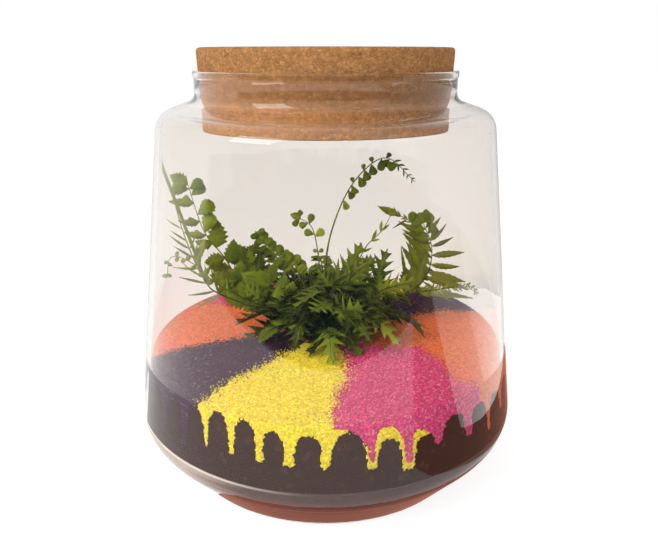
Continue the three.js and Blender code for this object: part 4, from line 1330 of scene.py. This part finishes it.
def add_leaflets(surface, jar, kind, base, ahead, out, facing, lengths, tones, rng):
    """Leaflets that grow from base points along out, near the plane of out and ahead, folded and curled."""

    def spread(values):
        return values[:, None, None]

    along, across, share, ray = leaflet_shape(kind)
    out = unit(out)
    side = unit(ahead - out * np.einsum("ij,ij->i", ahead, out)[:, None])
    normal = np.cross(out, side)
    normal *= np.where(normal @ facing < 0, -1, 1)[:, None]
    count = len(base)
    twist = rng.uniform(-LEAF_TWIST, LEAF_TWIST, count)[:, None]
    side, normal = unit(side + twist * normal), unit(normal - twist * side)
    thick = LEAF_HALF_THICKNESS * np.cross(out, side)[:, None, None]
    fold = rng.uniform(*LEAF_FOLD, count)
    curl = rng.uniform(*LEAF_CURL, count)
    wave = rng.uniform(0, 6.28, count)
    lift = (spread(fold) * np.abs(across) - spread(curl) * along**2
            + 0.1 * np.sin(7 * along + spread(wave)) * across)
    scale = lengths[:, None, None, None]
    middle = base[:, None, None] + scale * (
        along[..., None] * out[:, None, None] + across[..., None] * side[:, None, None]
        + lift[..., None] * normal[:, None, None])
    middle = kept_inside(jar, middle)
    marks = np.stack(np.broadcast_arrays(share, ray, spread(tones)), axis=-1)
    add_slabs(surface, middle + thick, middle - thick, marks)


def add_frond(surface, jar, points, upright, groups, rng):
    """Frond: a tapered stem along a curve, with groups of leaflets on its sides and at its end."""
    path, ahead = spline(points, STEM_STEPS)
    share = np.linspace(0, 1, STEM_STEPS)
    add_tube(surface, path, ahead, STEM_RADIUS * (1 - STEM_TAPER * share), np.array([0, 0, STEM_TONE]))
    level = unit(np.cross(path[-1] - path[0], UP))
    facing = FRONT if upright else UP
    for kind, sides, number, start, end, first, last, lean, tone in groups:
        total = number * len(sides)
        side = np.tile(sides, number)[:, None]
        order = np.repeat(np.linspace(0, 1, number), len(sides))
        wander = rng.uniform(-LEAF_WANDER, LEAF_WANDER, total) / number
        spot = np.clip(start + (end - start) * (order + wander), 0, LAST_SPOT)
        base = between(spot, share, path)
        forward = unit(between(spot, share, ahead))
        sideways = unit(np.cross(forward, FRONT)) if upright else np.broadcast_to(level, forward.shape)
        out = side * sideways + lean * rng.uniform(*LEAF_LEAN, (total, 1)) * forward
        out += rng.normal(0, LEAF_STRAY, (total, 3)) * np.linalg.norm(out, axis=1)[:, None]
        lengths = (first + (last - first) * order) * rng.uniform(*LEAF_LENGTH, total) * MM
        if sides == TIP:
            out = path[-1] - base
            lengths = lengths if first else np.linalg.norm(out, axis=1)
        low = OLD if tone >= OLD else 0
        tones = np.clip(tone + rng.normal(0, LEAF_TONE, total), low, low + 1)
        plane = sideways if sides == TIP else forward
        add_leaflets(surface, jar, kind, base, plane, out, facing, lengths, tones, rng)


def frond_points(jar, fill, root, through):
    """Points of a stem: its root in the soil plug, then the points that it grows through."""
    foot = at_azimuth(root[0], root[1] * MM, sand_top(fill) - SOCKET_DEPTH)
    lip = foot + STEM_LIP * UP
    return np.concatenate([[foot, lip], [in_jar(jar, fill, *p) for p in through]])


def grow(surface, jar, fill, frond, seed):
    """Adds a frond or sprig as the lists write it."""
    root, through, upright, groups = frond
    points = frond_points(jar, fill, root, through)
    add_frond(surface, jar, points, upright, groups, np.random.default_rng(seed))


def add_crown(surface, jar, fill, tone, count, seed):
    """Small cut leaves on short arching stalks, at golden-angle steps round the soil plug."""
    rng = np.random.default_rng(seed)
    groups = [end_leaf("cut", 0.5, tone), leaf_at("cut", PAIR, 0.5, 10, 0.7, tone)]
    for k in range(count):
        azimuth = (k * GOLDEN_ANGLE + 29 * seed) % 360
        reach = rng.uniform(*CROWN_REACH)
        reach += CROWN_WIDER * rng.uniform(0, 1) * abs(math.sin(math.radians(azimuth)))
        rise = rng.uniform(*CROWN_RISE) * (1.25 - reach)
        swayed = azimuth + rng.uniform(-CROWN_SWAY, CROWN_SWAY)
        through = [(azimuth, 0.6 * reach, rise), (swayed, reach, rise - 0.1 * reach)]
        points = frond_points(jar, fill, (azimuth, rng.uniform(*CROWN_ROOT)), through)
        add_frond(surface, jar, points, k % 2 == 0, groups, rng)


# Operators

class PieceOperator:
    """What the operators share."""

    bl_options = {"REGISTER", "UNDO"}

    @staticmethod
    def settings(context):
        """Sizes of the jar and of the filling, and colours."""
        scene = context.scene
        return scene.terrarium_jar, scene.terrarium_fill, scene.terrarium_colours


class TERRARIUM_OT_jar(PieceOperator, Operator):
    """Makes the glass jar"""

    bl_idname = "terrarium.jar"
    bl_label = "Glass jar"

    def execute(self, context):
        jar, _, colours = self.settings(context)
        place("blown_jar", jar_surface(jar), glass_material(colours.glass), "jar", "glass", ["glass_jar"])
        return {"FINISHED"}


class TERRARIUM_OT_cork(PieceOperator, Operator):
    """Makes the cork stopper"""

    bl_idname = "terrarium.cork"
    bl_label = "Cork stopper"

    def execute(self, context):
        jar, fill, colours = self.settings(context)
        cork = cork_material(colours.cork, jar.height)
        place("cork_stopper", cork_surface(jar, fill), cork, "lid", "cork", ["cork_lid"])
        return {"FINISHED"}


class TERRARIUM_OT_soil(PieceOperator, Operator):
    """Makes the grit, the soil and the soil plug that the ferns grow from"""

    bl_idname = "terrarium.soil"
    bl_label = "Grit and soil"

    def execute(self, context):
        jar, fill, colours = self.settings(context)
        grit = grit_material(colours.grit)
        soil = soil_material(colours.soil)
        place("clay_grit", drainage_surface(jar, fill), grit, "jar", "grit", ["drainage_layer"])
        place("dark_soil", soil_surface(jar, fill), soil, "jar", "soil", ["soil_bed"])
        place("soil_plug", root_ball_surface(fill), soil, "jar", "soil", ["root_ball"])
        return {"FINISHED"}


class TERRARIUM_OT_sand(PieceOperator, Operator):
    """Makes the sectors of coloured sand with their drips and loose grains"""

    bl_idname = "terrarium.sand"
    bl_label = "Coloured sand"

    def execute(self, context):
        jar, fill, colours = self.settings(context)
        kinds = {
            "purple": (0.25, shade(colours.purple, 0.5), 0.05, 0.3),
            "yellow": (0.2, srgb("d8a428"), 0.06, 0.12),
            "pink": (0.3, shade(colours.pink, 0.5), 0.12, 0.24),
            "coral": (0.2, shade(colours.coral, 0.62), 0.08, 0.16),
        }
        finishes = {}
        for key, (paler, dark, lights, darks) in kinds.items():
            base = tuple(getattr(colours, key))
            light = toward(base, WHITE_GRAIN, paler)
            finishes[key] = sand_material(key + "_sand", base, light, dark, lights, darks)
        front, back, owners = wall_grid(jar, fill)
        for i, (node, key, _) in enumerate(SECTORS):
            surface = Surface()
            add_sector(surface, jar, fill, i)
            add_cells(surface, front, back, owners == i)
            centres = sector_grains(jar, fill, i, np.random.default_rng(i))
            add_grains(surface, centres, np.random.default_rng(GRAIN_SEED + i))
            place(node.replace("sand_", "grains_"), surface, finishes[key], "jar", "sand_" + key, [node])
        return {"FINISHED"}


class TERRARIUM_OT_ferns(PieceOperator, Operator):
    """Makes the fern fronds, and the small leaves between them"""

    bl_idname = "terrarium.ferns"
    bl_label = "Ferns"

    def execute(self, context):
        jar, fill, colours = self.settings(context)
        leaf = leaf_material(colours)
        slots = {s["node"]: s["material_slot"] for s in frame["record"]["subparts"]}
        for k, (node, frond) in enumerate(FRONDS.items()):
            surface = Surface()
            grow(surface, jar, fill, frond, FROND_SEED + k)
            place("fern_" + node, surface, leaf, "jar", slots[node], [node])
        surface = Surface()
        for k, sprig in enumerate(SPRIGS):
            grow(surface, jar, fill, sprig, SPRIG_SEED + k)
        place("crown_sprigs", surface, leaf, "jar", "leaf_mid")
        for name, slot, tone, count, seed in CROWNS:
            surface = Surface()
            add_crown(surface, jar, fill, tone, count, seed)
            place(name, surface, leaf, "jar", slot)
        return {"FINISHED"}


# Stage

def white_world(strength):
    """World that is white to the camera and in the glass, and lights the rest at a given strength."""
    world = bpy.data.worlds.new("studio")
    world.use_nodes = True
    bpy.context.scene.world = world
    s = Shader(world.node_tree)
    seen = s.ray("Is Camera Ray") | s.ray("Is Transmission Ray") | s.ray("Is Glossy Ray")
    light = s.node("Background", {}, {"Color": (1, 0.985, 0.965, 1), "Strength": strength})
    white = s.node("Background", {}, {"Color": (1, 1, 1, 1), "Strength": 1.0})
    s.node("OutputWorld", {}, {"Surface": s.blend(seen, light, white)})


def floor_material():
    """Pale floor: seen or mirrored it glows almost white, and it still takes the object's shadow."""
    material, s = new_shader("pale_floor")
    seen = s.ray("Is Camera Ray") | s.ray("Is Glossy Ray")
    through = s.ray("Is Transmission Ray")
    away = s.node("VectorMath", {"operation": "LENGTH"}, {0: s.position()}, "Value").ramp(0.1, 0.15)
    pale = s.node("BsdfDiffuse", {}, {"Color": (0.82, 0.81, 0.8, 1)})
    soft = s.node("BsdfDiffuse", {}, {"Color": (0.35, 0.35, 0.35, 1)})
    glow = s.node("Emission", {}, {"Color": (1, 1, 1, 1), "Strength": 0.83})
    white = s.node("AddShader", {}, {0: soft, 1: glow})
    s.output(s.blend(seen | through * away, pale, white))
    return material


def flat_piece(name, corners, material):
    """Flat stage piece with the given corners."""
    mesh = bpy.data.meshes.new(name)
    mesh.from_pydata([tuple(c) for c in corners], [], [range(len(corners))])
    mesh.materials.append(material)
    piece = bpy.data.objects.new(name, mesh)
    bpy.context.scene.collection.objects.link(piece)
    return piece


def mirrored_card(name, corners, tint, near, back):
    """Flat card that only reflections show, with one brightness in front and another at the back."""
    material, s = new_shader(name)
    glow = [s.node("Emission", {}, {"Color": (*tint, 1), "Strength": level}) for level in (near, back)]
    seen = s.blend(s.position().part(1).ramp(*CARD_BACK), *glow)
    clear = s.node("BsdfTransparent", {}, {})
    s.output(s.blend(s.ray("Glossy Depth").ramp(0, 1), clear, seen))
    card = flat_piece(name, [(x, y, z + CARD_LIFT) for x, y, z in corners], material)
    card.visible_camera = False
    card.visible_diffuse = False
    card.visible_transmission = max(corner[1] for corner in corners) < 0
    card.visible_shadow = False


def softbox(name, location, watts):
    """Square area light turned to the middle of the jar."""
    light = bpy.data.lights.new(name, "AREA")
    light.shape = "SQUARE"
    light.size = LAMP_WIDTH
    light.energy = watts
    lamp = bpy.data.objects.new(name, light)
    lamp.location = location
    lamp.rotation_euler = (LAMP_TARGET - Vector(location)).to_track_quat("-Z", "Y").to_euler()
    lamp.visible_camera = False
    lamp.visible_glossy = False
    bpy.context.scene.collection.objects.link(lamp)


class TERRARIUM_OT_stage(PieceOperator, Operator):
    """Makes the floor, the cards, the light and the camera"""

    bl_idname = "terrarium.stage"
    bl_label = "Stage"

    def execute(self, context):
        scene = context.scene
        levels = scene.terrarium_light
        scene.view_settings.view_transform = "Standard"
        far = FLOOR_HALF
        floor = floor_card([(-far, -far), (far, -far), (far, far), (-far, far)])
        flat_piece("floor", floor, floor_material())
        for name, tint, near, back, corners in CARDS:
            mirrored_card(name, corners, tint, near * levels.card, back * levels.card)
        white_world(levels.ambient)
        softbox("key_softbox", KEY_PLACE, levels.key)
        softbox("fill_softbox", FILL_PLACE, levels.fill)
        camera = bpy.data.cameras.new("camera")
        camera.sensor_width = SENSOR
        camera.lens = LENS
        camera.shift_x = SHIFT
        camera.clip_start = NEAREST
        eye = bpy.data.objects.new("camera", camera)
        eye.location = EYE
        eye.rotation_euler = (math.pi / 2 - TILT, 0, 0)
        scene.collection.objects.link(eye)
        scene.camera = eye
        return {"FINISHED"}


STEPS = ("jar", "cork", "soil", "sand", "ferns", "stage")


class TERRARIUM_PT_panel(Panel):
    """Lists the steps and their sizes in the sidebar"""

    bl_idname = "TERRARIUM_PT_panel"
    bl_label = "Terrarium"
    bl_space_type = "VIEW_3D"
    bl_region_type = "UI"
    bl_category = "Terrarium"

    def draw(self, context):
        for step in STEPS:
            self.layout.operator("terrarium." + step)
        for group in GROUPS:
            for key in GROUPS[group].__annotations__:
                self.layout.prop(getattr(context.scene, group), key)


GROUPS = {
    "terrarium_jar": JarSizes,
    "terrarium_fill": FillSizes,
    "terrarium_colours": Colours,
    "terrarium_light": Light,
}
CLASSES = (
    *GROUPS.values(), TERRARIUM_OT_jar, TERRARIUM_OT_cork, TERRARIUM_OT_soil, TERRARIUM_OT_sand,
    TERRARIUM_OT_ferns, TERRARIUM_OT_stage, TERRARIUM_PT_panel,
)


def register():
    for cls in CLASSES:
        bpy.utils.register_class(cls)
    for name, group in GROUPS.items():
        setattr(bpy.types.Scene, name, PointerProperty(type=group))


def unregister():
    for name in GROUPS:
        delattr(bpy.types.Scene, name)
    for cls in reversed(CLASSES):
        bpy.utils.unregister_class(cls)


def main():
    register()
    for step in STEPS:
        getattr(bpy.ops.terrarium, step)()


if __name__ == "__main__":
    main()
